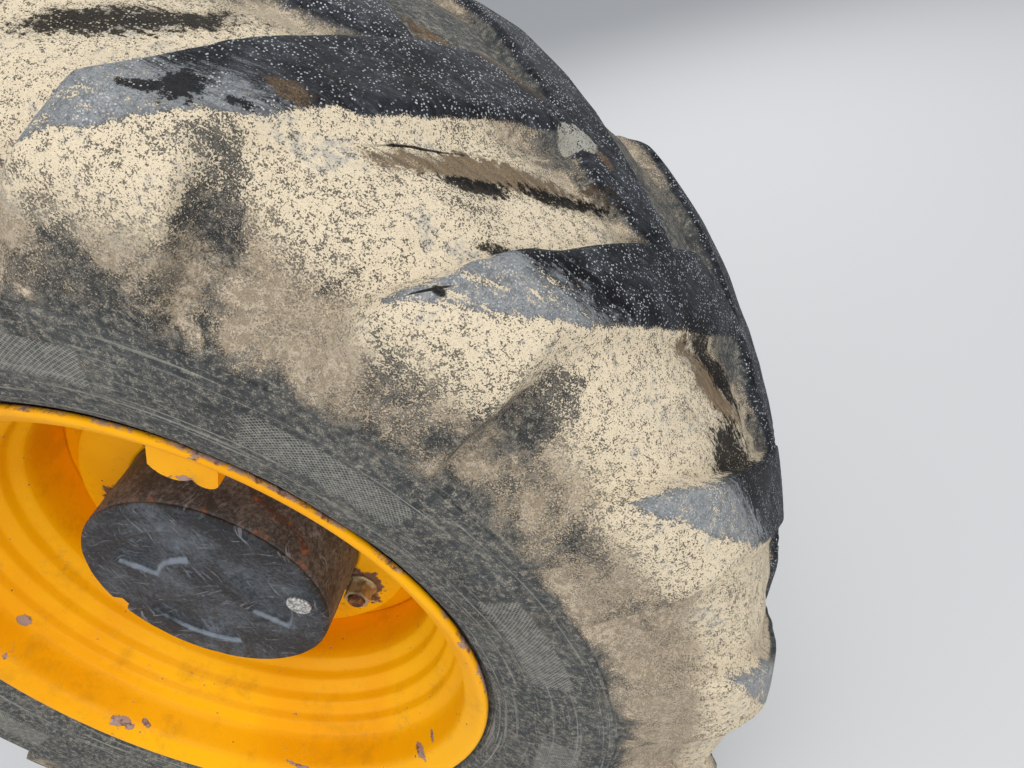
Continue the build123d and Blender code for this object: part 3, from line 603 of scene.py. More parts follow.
def drum_paint():
    """Black on the face and grey on the side, scratched, with a painted highlight on up-facing pocket walls and rust
    at the joint and in a run below it.
    """
    material, shader, spot = finish("drum_paint", Specular_IOR_Level=0.2)
    _, angle, reach = wheel_parts(spot)
    grain = spot.noise(70.0, 8.0, 0.72)
    cloud = spot.noise(12.0, 7.0, 0.66, 0.4)
    pits = spot.noise(240.0, 5.0, 0.75)
    face = reach.step(MM * (JOINT_REACH - 1.0), MM * (JOINT_REACH + 2.0))
    front = (cloud * 0.6 + pits * 0.4).step(0.42, 0.62).between(screen(40, 42, 45), screen(86, 92, 98))
    front = front.colour_to(screen(110, 118, 126), (grain * 0.6 + cloud * 0.4).step(0.54, 0.66) * face * 0.7)
    side = (cloud * 0.5 + pits * 0.5).step(0.42, 0.62).between(screen(58, 59, 60), screen(114, 115, 115))
    black = side.colour_to(front, face)
    bent = spot.swirled(14.0, 0.04)
    scratch = bent.stretched(9.0, 1.0, 1.0).noise(26.0, 5.0, 0.7)
    scratch = scratch.bigger(bent.stretched(1.0, 1.0, 8.0).noise(30.0, 5.0, 0.7))
    black = black.colour_to(screen(138, 143, 150), scratch.step(0.60, 0.67) * 0.6)
    # Painted highlight: the pocket walls that face up are coloured pale blue-grey, as if light caught them.
    painted_highlight = (spot.attribute("worn") + (grain - 0.5) * 1.4 + (cloud - 0.5) * 1.0).step(0.20, 1.05)
    black = black.colour_to(screen(138, 147, 158), painted_highlight * 0.72)
    rust = grain.step(0.48, 0.62).between(screen(74, 50, 38), screen(150, 98, 66))
    joint = (1.0 - (reach - MM * (JOINT_REACH - 2.0)).absolute() / 0.008).bigger(0.0)
    run = (1.0 - (reach - RUN_REACH + angle * RUN_SLOPE).absolute() / RUN_WIDTH).bigger(0.0)
    run = run * angle.step(0.015, 0.04) * angle.step(0.14, 0.12)
    rusty = (cloud * 0.6 + grain * 0.55 + joint * 0.13 + run * 0.22 - face * 0.20 - 0.09).step(0.57, 0.66)
    colour = black.colour_to(rust, rusty * 0.62)
    feed(shader, "Base Color", colour)
    feed(shader, "Roughness", 0.56 + rusty * 0.3 + (grain - 0.5) * 0.4)
    bump(shader, grain * 0.6 + cloud * 0.5 + pits * 0.3 - scratch.step(0.62, 0.69) * 0.1, 0.0018)
    return material


# %% [markdown]
# ## Steel, and the rest of the axle
# Every small part gets two tones of its own metal and its own share of rust. The knuckle's dull paint has road dust
# on whatever faces up, which the normal tells.

# %% Steel finishes
def worn_steel(name, clean, dark, rust_share, rough=0.45, metallic=0.7, patches=55.0):
    """Bare or plated steel: two tones of metal, with rust where the noise is over a level."""
    material, shader, spot = finish(name)
    grain = spot.noise(180.0, 7.0, 0.7)
    cloud = spot.noise(patches, 5.0, 0.6)
    metal = cloud.step(0.40, 0.62).between(clean, dark)
    rusty = (cloud * 0.6 + grain * 0.4).step(0.60 - 0.3 * rust_share, 0.68 - 0.3 * rust_share)
    rust = grain.step(0.45, 0.6).between(screen(92, 58, 38), screen(140, 92, 60))
    feed(shader, "Base Color", metal.colour_to(rust, rusty))
    feed(shader, "Metallic", metallic * (1.0 - rusty))
    feed(shader, "Roughness", rough + rusty * 0.4 + (grain - 0.5) * 0.3)
    bump(shader, grain, 0.0005)
    return material


def axle_paint():
    """Dull grey, with dust on whatever faces up and rust where two noises agree."""
    material, shader, spot = finish("axle_paint")
    grain = spot.noise(60.0, 8.0, 0.7)
    cloud = spot.noise(8.0, 6.0, 0.6, 0.4)
    colour = cloud.step(0.42, 0.66).between(screen(52, 52, 54), screen(84, 80, 74))
    up = spot.node("SeparateXYZ", sockets={0: spot.node("NewGeometry", out="Normal")}, out=2)
    colour = colour.colour_to(screen(150, 132, 104), (up * 0.5 + cloud + (grain - 0.5)).step(0.72, 1.0) * 0.8)
    colour = colour.colour_to(screen(104, 70, 48), (grain * 0.5 + spot.noise(20.0, 6.0) * 0.6).step(0.62, 0.70) * 0.7)
    feed(shader, "Base Color", colour)
    feed(shader, "Roughness", 0.66 + (grain - 0.5) * 0.3)
    bump(shader, grain * 0.8 + spot.noise(300.0, 3.0) * 0.2, 0.0016)
    return material


FINISHES.update({
    "tyre_rubber": tyre_rubber(),
    "rim_paint": rim_paint(),
    "drum_paint": drum_paint(),
    "axle_paint": axle_paint(),
    "machined_steel": worn_steel("machined_steel", screen(172, 168, 160), screen(128, 122, 112), 0.1, 0.35, 0.9),
    "bolt_steel": worn_steel("bolt_steel", screen(140, 134, 122), screen(96, 88, 76), 0.35),
    "stud_steel": worn_steel("stud_steel", screen(98, 78, 62), screen(62, 46, 36), 0.7, 0.6, 0.4),
    "nut_steel": worn_steel("nut_steel", screen(186, 170, 132), screen(128, 114, 88), 0.15, 0.42, 0.5),
    "plug_steel": worn_steel("plug_steel", screen(206, 207, 204), screen(112, 112, 108), 0.0, 0.4, 0.4, 330.0),
    "valve_brass": worn_steel("valve_brass", screen(170, 140, 80), screen(120, 98, 58), 0.0, 0.4, 0.8),
    "bush_bronze": worn_steel("bush_bronze", screen(168, 118, 66), screen(120, 84, 48), 0.0, 0.4, 0.9),
})
print("finishes", len(FINISHES))

# %% [markdown]
# ## The tyre
# A lugged tyre could be built from separate blocks, but on the real one the rubber is one moulded skin, and
# wear has rounded every lug into its groove. So the tread is one grid between two section lines: the floor of the
# grooves and the top of the lugs. A height between 0 and 1 says how far each point has moved from the floor to the
# top. The grid leans with the lugs, so that its lines run along their edges and keep them crisp.

# %% Tyre sections and lug measures
# Section points are (radius, reach) in millimetres, from the middle of the tread to the bead.
FLOOR_LINE = [
    (588, 0), (586.5, 45), (583, 84), (576, 129), (563, 163), (543, 183), (514, 194), (486, 205), (464, 215),
    (452, 222),
]
TOP_LINE = [
    (603, 0), (601.5, 45), (598, 84), (592, 129), (582, 173), (565, 195), (540, 211), (500, 220), (470, 223),
    (452, 223),
]
WALL_LINE = [(452, 223), (425, 221.5), (400, 219), (380, 215), (360, 210), (346, 205.5), (338, 202)]
LUG_COUNT = 16
PITCH = 360.0 / LUG_COUNT
LUG_ANGLE_AT_BEND = 34.9
FAR_ROW_SHIFT = PITCH / 2
BEND_REACH = 173.0
LEAN_PER_MM = 0.086
SHOULDER_DRIFT = 2.5
LUG_HALF_ANGLE = 4.65
BEND_HALF_ANGLE = 3.75
BUTTRESS_HALF_ANGLE = 5.7
NOSE_REACH = -28.0
CRISP_WALL = 7.0
SOFT_WALL = 26.0
BUTTRESS_CRISP_WALL = 38.0
BUTTRESS_SOFT_WALL = 11.0
SQUARE_ON_TREAD = 0.72
SQUARE_ON_WALL = 0.92
SHOULDER_ALONG = (176.0, 251.0)
TREAD_COLUMNS = 54 * LUG_COUNT
TREAD_ROWS = 111
FINE_STEPS = 2001
WANDER_DEGREES = 0.35
WORN_DEPTH = 0.9
CAKED_WAVES = 1.3
CAKED_MEAN = 0.6
print("lugs", 2 * LUG_COUNT, "pitch", PITCH, "degrees")


# %% Curves and waves
def through(points, at):
    """Catmull-Rom curve through the points: at runs from 0 at the first point to count - 1 at the last."""
    points = np.array(points, float)
    points = np.concatenate([[2 * points[0] - points[1]], points, [2 * points[-1] - points[-2]]])
    start = np.clip(np.floor(at).astype(int), 0, len(points) - 4)
    t = (at - start)[..., None]
    a, b, c, d = (points[start + k] for k in range(4))
    return 0.5 * (2 * b + (c - a) * t + (2 * a - 5 * b + 4 * c - d) * t**2 + (3 * b - a - 3 * c + d) * t**3)


def both_sides(half):
    """Whole line from the inboard end, over the middle, to the outboard end, from its outboard half."""
    return [(radius, -reach) for radius, reach in half[:0:-1]] + list(half)


def smooth(value, low, high):
    """0 below low, 1 above high, and 3t^2 - 2t^3 between them."""
    t = np.clip((value - low) / (high - low), 0.0, 1.0)
    return t * t * (3 - 2 * t)


def waves(angle, along, seed, count=14, turns=40, rate=60.0):
    """Smooth unevenness: the mean of sines with whole numbers of waves round the wheel, so that it closes."""
    draw = np.random.default_rng(seed)
    total = 0.0
    for _ in range(count):
        total = total + np.sin(
            draw.integers(1, turns) * angle + draw.uniform(-rate, rate) * along + draw.uniform(0, 2 * math.pi)
        )
    return total / math.sqrt(count)


print("half way up a smooth step:", smooth(0.5, 0.0, 1.0))


# %% Lug heights
def lug_centre(reach):
    """Angle in degrees of an outboard lug's middle, at a reach in mm: straight, then bent at the shoulder."""
    slant = LUG_ANGLE_AT_BEND - LEAN_PER_MM * (BEND_REACH - np.minimum(reach, BEND_REACH))
    return slant + SHOULDER_DRIFT * smooth(reach, BEND_REACH - 12.0, TYRE_HALF_WIDTH / MM)


def lug_offset(angle, reach, down):
    """Angle from the middle of the nearest lug, and half the lug's own angle there."""
    offset = (angle - lug_centre(reach) + PITCH / 2) % PITCH - PITCH / 2
    half = LUG_HALF_ANGLE + (BEND_HALF_ANGLE - LUG_HALF_ANGLE) * np.clip(reach / BEND_REACH, -0.2, 1.0)
    return offset, half + (BUTTRESS_HALF_ANGLE - BEND_HALF_ANGLE) * down


def lug_height(angle, reach, down):
    """Height of a row of lugs, 0 at the groove floor and 1 on the lug tops.
    It is the product of three smooth steps, one at each edge and one at the nose, measured square to the edge.
    A lug is widest at the middle of the tread, narrower at the bend, and wide again as a buttress.
    down is 0 on the tread and 1 on the sidewall, where the steep side changes over."""
    offset, half = lug_offset(angle, reach, down)
    square = SQUARE_ON_TREAD + (SQUARE_ON_WALL - SQUARE_ON_TREAD) * down
    mm_per_degree = (TYRE_RADIUS / MM) * math.pi / 180 * square
    crisp = CRISP_WALL + (BUTTRESS_CRISP_WALL - CRISP_WALL) * down
    soft = SOFT_WALL + (BUTTRESS_SOFT_WALL - SOFT_WALL) * down
    upper = smooth((half - offset) * mm_per_degree, -crisp * 0.6, crisp * 0.4)
    lower = smooth((half + offset) * mm_per_degree, -soft * 0.7, soft * 0.3)
    nose = smooth(reach, NOSE_REACH - 12.0, NOSE_REACH + 4.0)
    return upper * lower * nose


print("a lug's middle at the bend:", round(float(lug_centre(BEND_REACH)), 2), "degrees")


# %% Tread columns
# How columns crowd at a lug's crisp edge and at its soft one: degrees from its middle, strength and width.
EDGE_CROWDS = ((LUG_HALF_ANGLE, 2.2, 0.45), (-LUG_HALF_ANGLE, 0.8, 1.2))


def tread_columns():
    """Column angles in degrees before the lean: evenly spaced, but closer at the four lug edges of each pitch."""
    fine = np.linspace(0.0, PITCH, 2401)
    crowd = np.full_like(fine, 1.0)
    for middle in (0.0, FAR_ROW_SHIFT):
        for edge, strength, width in EDGE_CROWDS:
            away = (fine - middle - edge + PITCH / 2) % PITCH - PITCH / 2
            crowd += strength * np.exp(-((away / width) ** 2))
    at = np.concatenate([[0.0], np.cumsum((crowd[1:] + crowd[:-1]) / 2)])
    per_pitch = TREAD_COLUMNS // LUG_COUNT
    steps = np.interp(np.arange(per_pitch) / per_pitch, at / at[-1], fine)
    return LUG_ANGLE_AT_BEND + (np.arange(LUG_COUNT)[:, None] * PITCH + steps[None, :]).ravel()


def lean(reach):
    """Turn of a grid row in degrees, so that columns follow the lug edges on both sides of the middle."""
    return lug_centre(np.abs(reach)) - LUG_ANGLE_AT_BEND


print("tread columns", len(tread_columns()))


# %% Layers for the rubber
SCUFF_START = 108.0
SCUFF_END = 178.0
# Painted shade in the fold below each buttress: its middle and width, in mm below the lug's edge.
FOLD_SHADE_MIDDLE = 20.0
FOLD_SHADE_WIDTH = 23.0


def layers(degrees, height, radius, along, reach, down):
    """What the rubber finish reads. top: 1 on a lug's worn top. mud: share of dirt, most on the outboard shoulder.
    brown: 1 where it is earth and not clay. scuff: 1 at a lug's shoulder end. along: metres across the tread.
    In the fold below each buttress, less mud and more brown are a painted shade."""
    across = along + 0 * height
    offset, half = lug_offset(degrees, np.abs(reach), down)
    end = smooth(np.abs(across), 158.0, 238.0)
    slanted_end = smooth(offset - half * (2 * end - 1), -1.0, 1.4)
    top = smooth(height, 0.30, 0.92) * np.where(across > 120.0, slanted_end, 1.0 - end)
    offset, half = lug_offset(degrees, reach, down)
    below = -(offset + half) * math.pi / 180 * radius
    # Painted shade: below each buttress the cover drops and the brown rises, so the crust there looks darker.
    fold_shade = 0.8 * np.exp(-(((below - FOLD_SHADE_MIDDLE) / FOLD_SHADE_WIDTH) ** 2))
    fold_shade = fold_shade * smooth(across, 168.0, 215.0) * smooth(radius, 470.0, 500.0)
    mud = 0.16 + 0.74 * smooth(across, 0.0, 80.0) + 0.45 * smooth(-across, 90.0, 190.0)
    mud = mud * (0.68 + 0.32 * smooth(radius, 500.0, 560.0)) * smooth(radius, 428.0, 478.0) - 0.24 * fold_shade
    brown = 1.0 - smooth(radius, 488.0, 556.0) + 0.8 * (1.0 - smooth(across, 20.0, 80.0)) + 0.7 * fold_shade
    scuff = smooth(across, SCUFF_START, SCUFF_END) * top
    brown = np.clip(brown, 0, 1)
    return {"top": top, "mud": mud, "brown": brown, "scuff": scuff, "along": across * MM, "panel": 0 * top}


# %% Tread grid
def tread_grid():
    """Floor line + height x (top line - floor line), with height from both rows of lugs, and a little unevenness."""
    last = len(TOP_LINE) - 1
    fine = np.linspace(0.0, 2.0 * last, FINE_STEPS)
    top = through(both_sides(TOP_LINE), fine)
    length = np.concatenate([[0.0], np.cumsum(np.linalg.norm(np.diff(top, axis=0), axis=1))])
    at = np.interp(np.linspace(0.0, length[-1], TREAD_ROWS), length, fine)
    top = through(both_sides(TOP_LINE), at)[:, None, :]
    floor = through(both_sides(FLOOR_LINE), at)[:, None, :]
    along = (np.interp(at, fine, length) - length[-1] / 2)[:, None]
    reach = top[..., 1]
    degrees = tread_columns()[None, :] + lean(reach)
    angle = np.radians(degrees)
    down = smooth(np.abs(along), *SHOULDER_ALONG)
    wander = WANDER_DEGREES * waves(angle, along * MM, seed=3, turns=30, rate=70.0)
    near = lug_height(degrees + wander, reach, down)
    far = lug_height(degrees + wander - FAR_ROW_SHIFT, -reach, down)
    height = np.maximum(near, far)
    section = floor + height[..., None] * (top - floor)
    groove = 1.0 - height
    worn = WORN_DEPTH * waves(angle, along * MM, seed=5, turns=44, rate=90.0) * height
    caked = CAKED_WAVES * waves(angle, along * MM, seed=8, turns=90, rate=160.0, count=26)
    caked = (caked + CAKED_MEAN) * groove
    fade = smooth(length[-1] / 2 - np.abs(along), 0.0, 40.0)
    radius = section[..., 0] - (np.abs(worn) * 0.8 - caked) * fade * smooth(section[..., 0], 500.0, 560.0)
    grid = place(MM * np.minimum(radius, TYRE_RADIUS / MM), MM * section[..., 1], angle)
    return grid, layers(degrees, height, section[..., 0], along, reach, down)


# %% Tread skin
BACK_RADIUS = 446.0
BACK_REACH = 214.0
grid, tread_layers = tread_grid()
end_angles = np.arctan2(grid[-1, :, 2], grid[-1, :, 0])[None, :]
back = place(MM * BACK_RADIUS, MM * BACK_REACH * np.array([[1.0], [-1.0]]), end_angles)
tread = skin("tyre_tread", np.concatenate([grid, back]), ring=True)
record_on(tread, **{name: np.concatenate([numbers, 0 * back[..., 0]]) for name, numbers in tread_layers.items()})
dress(tread, "wheel", "tyre_rubber", "tyre")


# %% [markdown]
# ## The sidewalls
# Below the buttresses the tyre is a plain bulging ring. What makes it read as a moulded wall is the relief: thin
# rings, shallow panels with a hatched ground, and a rib over the rim flange. They are added to the section as small
# heights, each a function of radius and angle.

# %% Sidewall measures
# Each thin ring: its radius, height and width in millimetres.
RING_RADII = ((447.0, 1.1, 1.3), (385.0, 0.7, 1.0), (351.0, 1.2, 2.2))
PANEL_COUNT = 11
PANEL_MIDDLE = 38.0
PANEL_HALF_ANGLE = 9.0
PANEL_RADII = (383.0, 424.0)
WALL_ROWS = 66
WALL_MUD = 0.06
WALL_BROWN = 0.7
WALL_ALONG = 0.33
TUCK = np.array([(335.5, 197.0), (320.0, 189.5), (312.0, 184.0), (309.0, 166.0), (330.0, 164.0), (446.0, 196.0)])
print("panels", PANEL_COUNT, "each", 2 * PANEL_HALF_ANGLE, "degrees long")


# %% Sidewall skins
def panel_depth(degrees, radius):
    """1 inside a hatched panel and 0 outside, with walls about 3 mm wide."""
    offset = (degrees - PANEL_MIDDLE + 180.0 / PANEL_COUNT) % (360.0 / PANEL_COUNT) - 180.0 / PANEL_COUNT
    across = smooth(PANEL_HALF_ANGLE - np.abs(offset), -0.2, 0.3)
    inner, outer = PANEL_RADII
    return across * smooth(radius, inner, inner + 3) * smooth(-radius, -outer, 3 - outer)


def wall_grid(side, angle):
    """Wall line from the tread's last row to the bead, with its relief along the reach, on side +1 or -1.
    TUCK carries it round the bead and back inside, so that the ring closes. Gives the points and the panels."""
    last = len(WALL_LINE) - 1
    at = np.linspace(0.0, last, 1001)
    line = through(WALL_LINE, at)
    length = np.concatenate([[0.0], np.cumsum(np.linalg.norm(np.diff(line, axis=0), axis=1))])
    line = through(WALL_LINE, np.interp(np.linspace(0.0, length[-1], WALL_ROWS), length, at))[:, None, :]
    radius, reach = line[..., 0], line[..., 1]
    degrees = np.degrees(angle)[None, :]
    relief = -0.7 * panel_depth(degrees, radius)
    for ring, high, wide in RING_RADII:
        relief = relief + high * np.exp(-(((radius - ring) / wide) ** 2))
    sway = 0.5 * waves(angle[None, :], radius * MM, seed=12, turns=24, rate=80.0)
    relief = relief + sway * smooth(-radius, -450.0, -430.0)
    radius = np.concatenate([radius + 0 * relief, TUCK[:, :1] + 0 * relief[:1]])
    reach = np.concatenate([np.minimum(reach + relief, TYRE_HALF_WIDTH / MM), TUCK[:, 1:] + 0 * relief[:1]])
    panel = panel_depth(degrees, radius) * (reach > 190.0)
    return place(MM * radius, side * MM * reach, angle[None, :]), panel


for side, name, row in ((1, "tyre_wall_outer", -1), (-1, "tyre_wall_inner", 0)):
    angle = np.unwrap(np.arctan2(grid[row, :, 2], grid[row, :, 0]))
    points, panel = wall_grid(side, angle)
    wall = skin(name, points, ring=True)
    none, one = np.zeros_like(panel), np.ones_like(panel)
    record_on(
        wall, top=none, mud=WALL_MUD * one, brown=WALL_BROWN * one, scuff=none,
        along=WALL_ALONG * side * one, panel=panel,
    )
    dress(wall, "wheel", "tyre_rubber", "tyre")


# %% [markdown]
# ## The rim and its disc
# The rim is rolled from one plate, so it is one line with a thickness: the line is moved back along its own normals
# and the two are joined. Rolling leaves soft terraces on the slope down to the well, and they catch the light.

# %% Rim and disc
# Section points are (radius, reach) again: the lip from its tip inwards, the terraced slope, and the well.
PLATE = 7.0
DISC_PLATE = 14.0
DISC_SEAT = 38.0
LIP = [(LIP_RADIUS, 197.0), (329.5, 202.0), (325.0, 203.0), (320.0, 201.0), (312.5, 196.0)]
SLOPE = [
    (304.0, 190.0), (301.5, 184.0), (299.0, 155.0), (296.5, 147.0), (284.0, 138.0), (281.5, 127.0),
    (269.5, 118.0), (267.0, 106.0), (254.5, 95.0), (252.0, 83.0), (241.0, 72.0), (239.0, 62.0),
]
WELL = [(239.0, 40.0), (239.0, -40.0)]
RIM_COLUMNS = 320
DISC_COLUMNS = 360


def plate(line, thickness):
    """Closed section: a line and the same line moved square to itself by the thickness, away from the first."""
    way = np.gradient(line, axis=0)
    way /= np.linalg.norm(way, axis=1)[:, None]
    normal = np.stack([-way[:, 1], way[:, 0]], axis=1)
    return np.concatenate([line, (line + MM * thickness * normal)[::-1]])


rim_corners = LIP + SLOPE + WELL + [(radius, -reach) for radius, reach in reversed(LIP + SLOPE)]
rim_line = spaced(rounded(rim_corners, 5.0), 150)
rim = turned("rim", plate(rim_line, PLATE), RIM_COLUMNS)
dress(rim, "wheel", "rim_paint", "rim")

disc_line = spaced(rounded([(238.5, 7.0), (213.0, 12.5), (203.0, DISC_SEAT), (140.8, DISC_SEAT)], 7.0), 40)
disc = turned("wheel_disc", plate(disc_line, DISC_PLATE), DISC_COLUMNS)
dress(disc, "wheel", "rim_paint", "wheel_disc")


# %% [markdown]
# ## The hub and the drive's end cover
# The drum, the wheel flange and the bearing barrel are one casting, turned where it matters, so it is one section
# line. The cover's face is a polar grid: three pockets, an edge notch and a rounded rim are heights and radii that
# depend on the angle.

# %% Hub
hub_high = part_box("hub")[1]
HUB_BACK_REACH = (MIDDLE_Y - hub_high.y) / MM
HUB_FLANGE_RADIUS = hub_high.x / MM
DRUM_BORE_RADIUS = 112.0
BARREL_RADIUS = 143.0
SPINDLE_BORE_RADIUS = 62.1
NOTCH_ANGLE = 188.0
NOTCH_HALF_WIDTH = 12.0
NOTCH_DEPTH = 12.0
NOTCH_LENGTH = 26.0
DRUM_COLUMNS = 480


def notch(degrees):
    """Depth of the edge notch at an angle: full in its middle, with sides rounded over about 3 mm."""
    across = np.abs(np.radians(degrees - NOTCH_ANGLE)) * DRUM_RADIUS
    return NOTCH_DEPTH * smooth(-across, -NOTCH_HALF_WIDTH - 1.0, 4.0 - NOTCH_HALF_WIDTH)


hub_corners = [
    (DRUM_BORE_RADIUS, JOINT_REACH), (DRUM_RADIUS - 1.5, JOINT_REACH), (DRUM_RADIUS, JOINT_REACH - 2.0),
    (DRUM_RADIUS, 46.0), (DRUM_RADIUS + 1.0, 24.0), (HUB_FLANGE_RADIUS - 2.0, 24.0), (HUB_FLANGE_RADIUS, 22.0),
    (HUB_FLANGE_RADIUS, 4.0), (HUB_FLANGE_RADIUS - 2.0, 2.0), (BARREL_RADIUS + 7.0, 2.0), (BARREL_RADIUS, -4.0),
    (BARREL_RADIUS, HUB_BACK_REACH + 8.0), (BARREL_RADIUS - 8.0, HUB_BACK_REACH), (64.0, HUB_BACK_REACH),
    (SPINDLE_BORE_RADIUS, HUB_BACK_REACH + 2.0), (SPINDLE_BORE_RADIUS, 12.0), (DRUM_BORE_RADIUS, 22.0),
    (DRUM_BORE_RADIUS, JOINT_REACH),
]
hub_line = spaced(rounded(hub_corners, 3.0), 120)
angles = round_angles(DRUM_COLUMNS)[None, :]
radius = hub_line[:, :1] + 0 * angles
reach = hub_line[:, 1:] + 0 * angles
near_face = smooth(reach / MM, JOINT_REACH - NOTCH_LENGTH, JOINT_REACH - NOTCH_LENGTH + 6.0)
radius = radius - MM * notch(np.degrees(angles)) * near_face * (radius > 0.9 * MM * DRUM_RADIUS)
rough = 0.35 * MM * waves(angles, reach, seed=21, turns=50, rate=180.0) * (reach > 0.046) * (radius > 0.13)
hub = skin("hub", place(radius + rough, reach, angles), ring=True)
dress(hub, "wheel", "drum_paint", "hub")

# %% [markdown]
# The cover is the same idea on one face: the pockets are cut as a depth that depends on the radius and the angle.
# Where the painted highlight goes is found from that same depth, by asking how it changes over a few millimetres of
# height.

# %% Pockets
POCKET_ANGLES = (110.0, 230.0, 350.0)
POCKET_HALF_SWEEP = 34.0
POCKET_RADII = (53.0, 99.0)
POCKET_DEPTH = 4.0


def pocket(radius, degrees):
    """Depth of the three pockets: walls 6 mm wide at every side."""
    depth = 0.0
    for middle in POCKET_ANGLES:
        away = np.abs((degrees - middle + 180.0) % 360.0 - 180.0)
        side = np.radians(POCKET_HALF_SWEEP - away) * radius
        inside = smooth(side, -3.0, 3.0)
        inside = inside * smooth(radius, POCKET_RADII[0] - 3.0, POCKET_RADII[0] + 3.0)
        inside = inside * smooth(-radius, -POCKET_RADII[1] - 3.0, 3.0 - POCKET_RADII[1])
        depth = np.maximum(depth, inside)
    return POCKET_DEPTH * depth


def wall_up(radius, degrees):
    """How far a pocket wall faces up: the pocket's depth 3 mm higher less its depth 3 mm lower, 0 at least."""
    across, height = radius * np.cos(np.radians(degrees)), radius * np.sin(np.radians(degrees))
    higher, lower = (
        pocket(np.hypot(across, up), np.degrees(np.arctan2(up, across))) for up in (height + 3, height - 3)
    )
    return np.clip((higher - lower) / POCKET_DEPTH, 0, 1)


middle_of_pocket = pocket(np.mean(POCKET_RADII), POCKET_ANGLES[0])
print("a pocket is", round(float(middle_of_pocket), 2), "mm deep in its middle")


# %% End cover
face_radii = np.linspace(0.0, DRUM_RADIUS - 5.0, 62)
face_line = np.stack([MM * face_radii, MM * np.full_like(face_radii, FACE_REACH)], axis=1)
edge_line = rounded([
    (DRUM_RADIUS - 5.0, FACE_REACH), (DRUM_RADIUS, FACE_REACH - 4.0), (DRUM_RADIUS, JOINT_REACH),
    (DRUM_RADIUS - 8.0, JOINT_REACH),
], 5.0)
back_line = MM * np.array([(DRUM_RADIUS - 8.0, JOINT_REACH - 1.0), (0.0, JOINT_REACH - 1.0)])
cover_line = np.concatenate([face_line, spaced(edge_line, 16)[1:], back_line])
degrees = np.degrees(angles)
radius = cover_line[:, :1] + 0 * angles
on_face = cover_line[:, 1:] > MM * (FACE_REACH - 0.5)
reach = cover_line[:, 1:] - MM * pocket(radius / MM, degrees) * on_face
shrink = 1.0 - notch(degrees) / DRUM_RADIUS * smooth(radius / MM, 90.0, DRUM_RADIUS - 6.0)
reach = reach + 0.25 * MM * waves(angles, radius, seed=23, turns=30, rate=150.0) * smooth(radius / MM, 0.0, 60.0)
cover = skin("drive_cover", place(radius * shrink, np.minimum(reach, MM * FACE_REACH), angles), poles=(True, True))
# The pocket walls that face up are stored here for the drum finish's painted highlight.
record_on(cover, worn=wall_up(radius / MM, degrees) * on_face)
dress(cover, "wheel", "drum_paint", "drive_cover")

# %% [markdown]
# ## Nuts, studs and the oil plug
# A flanged nut is one ring again, but its radius also depends on the angle: the hexagon is the distance to the
# nearest flat, and the chamfer is the smaller of that and a cone. The same section then goes on every stud.

# %% Nut and stud measures
NUT_FLATS = 30.0
NUT_HEIGHT = 18.0
COLLAR_RADIUS = 19.5
COLLAR_HEIGHT = 5.0
STUD_RADIUS = 10.0
THREAD_PITCH = 2.0
THREAD_DEPTH = 0.45
NUT_BORE_RADIUS = 10.2
NUT_CORNER_RADIUS = 17.4
NUT_TOP = DISC_SEAT + COLLAR_HEIGHT + NUT_HEIGHT
STUD_TIP = NUT_TOP + 5.0
FIRST_NUT_TURN = 17.0
NUT_TURN_STEP = 37.0
NUT_COLUMNS = 96
STUD_COLUMNS = 40
print("a stud stands", STUD_TIP - NUT_TOP, "mm out of its nut")


# %% Small turned parts
def spun(line, columns, flats=None):
    """Skin points of a small part round its own axis, as (across, up, out): out is the line's second number.
    With flats, the radius is cut down to a hexagon that far across, wherever the line is wider than it."""
    turn = round_angles(columns)[None, :]
    radius = line[:, :1] + 0 * turn
    if flats is not None:
        sector = math.pi / 3
        to_flat = MM * flats / 2 / np.cos((turn + sector / 2) % sector - sector / 2)
        hexed = (line[:, 2:] > 0) & (radius > to_flat)
        radius = np.where(hexed, to_flat, radius)
    return np.stack([radius * np.cos(turn), radius * np.sin(turn), line[:, 1:2] + 0 * turn], axis=-1)


def at_stud(points, number, turn=0.0):
    """Carries a small part's points to a stud, its own axis along the wheel's and turned by an angle."""
    angle = math.radians(STUD_PHASE + number * 360.0 / STUD_COUNT)
    across = points[..., 0] * math.cos(turn) - points[..., 1] * math.sin(turn)
    up = points[..., 0] * math.sin(turn) + points[..., 1] * math.cos(turn)
    x = MM * STUD_CIRCLE * math.cos(angle) + across
    z = MM * STUD_CIRCLE * math.sin(angle) + up
    return np.stack([x, MIDDLE_Y - points[..., 2], z], axis=-1)


def with_mark(line, hexed):
    """Adds a third number to each point of a line, 1 where the hexagon cuts it."""
    return np.concatenate([line, np.full((len(line), 1), float(hexed))], axis=1)


middle_nut = at_stud(np.zeros((1, 3)), 0)[0]
print("the first stud stands at", [round(float(value), 4) for value in middle_nut])


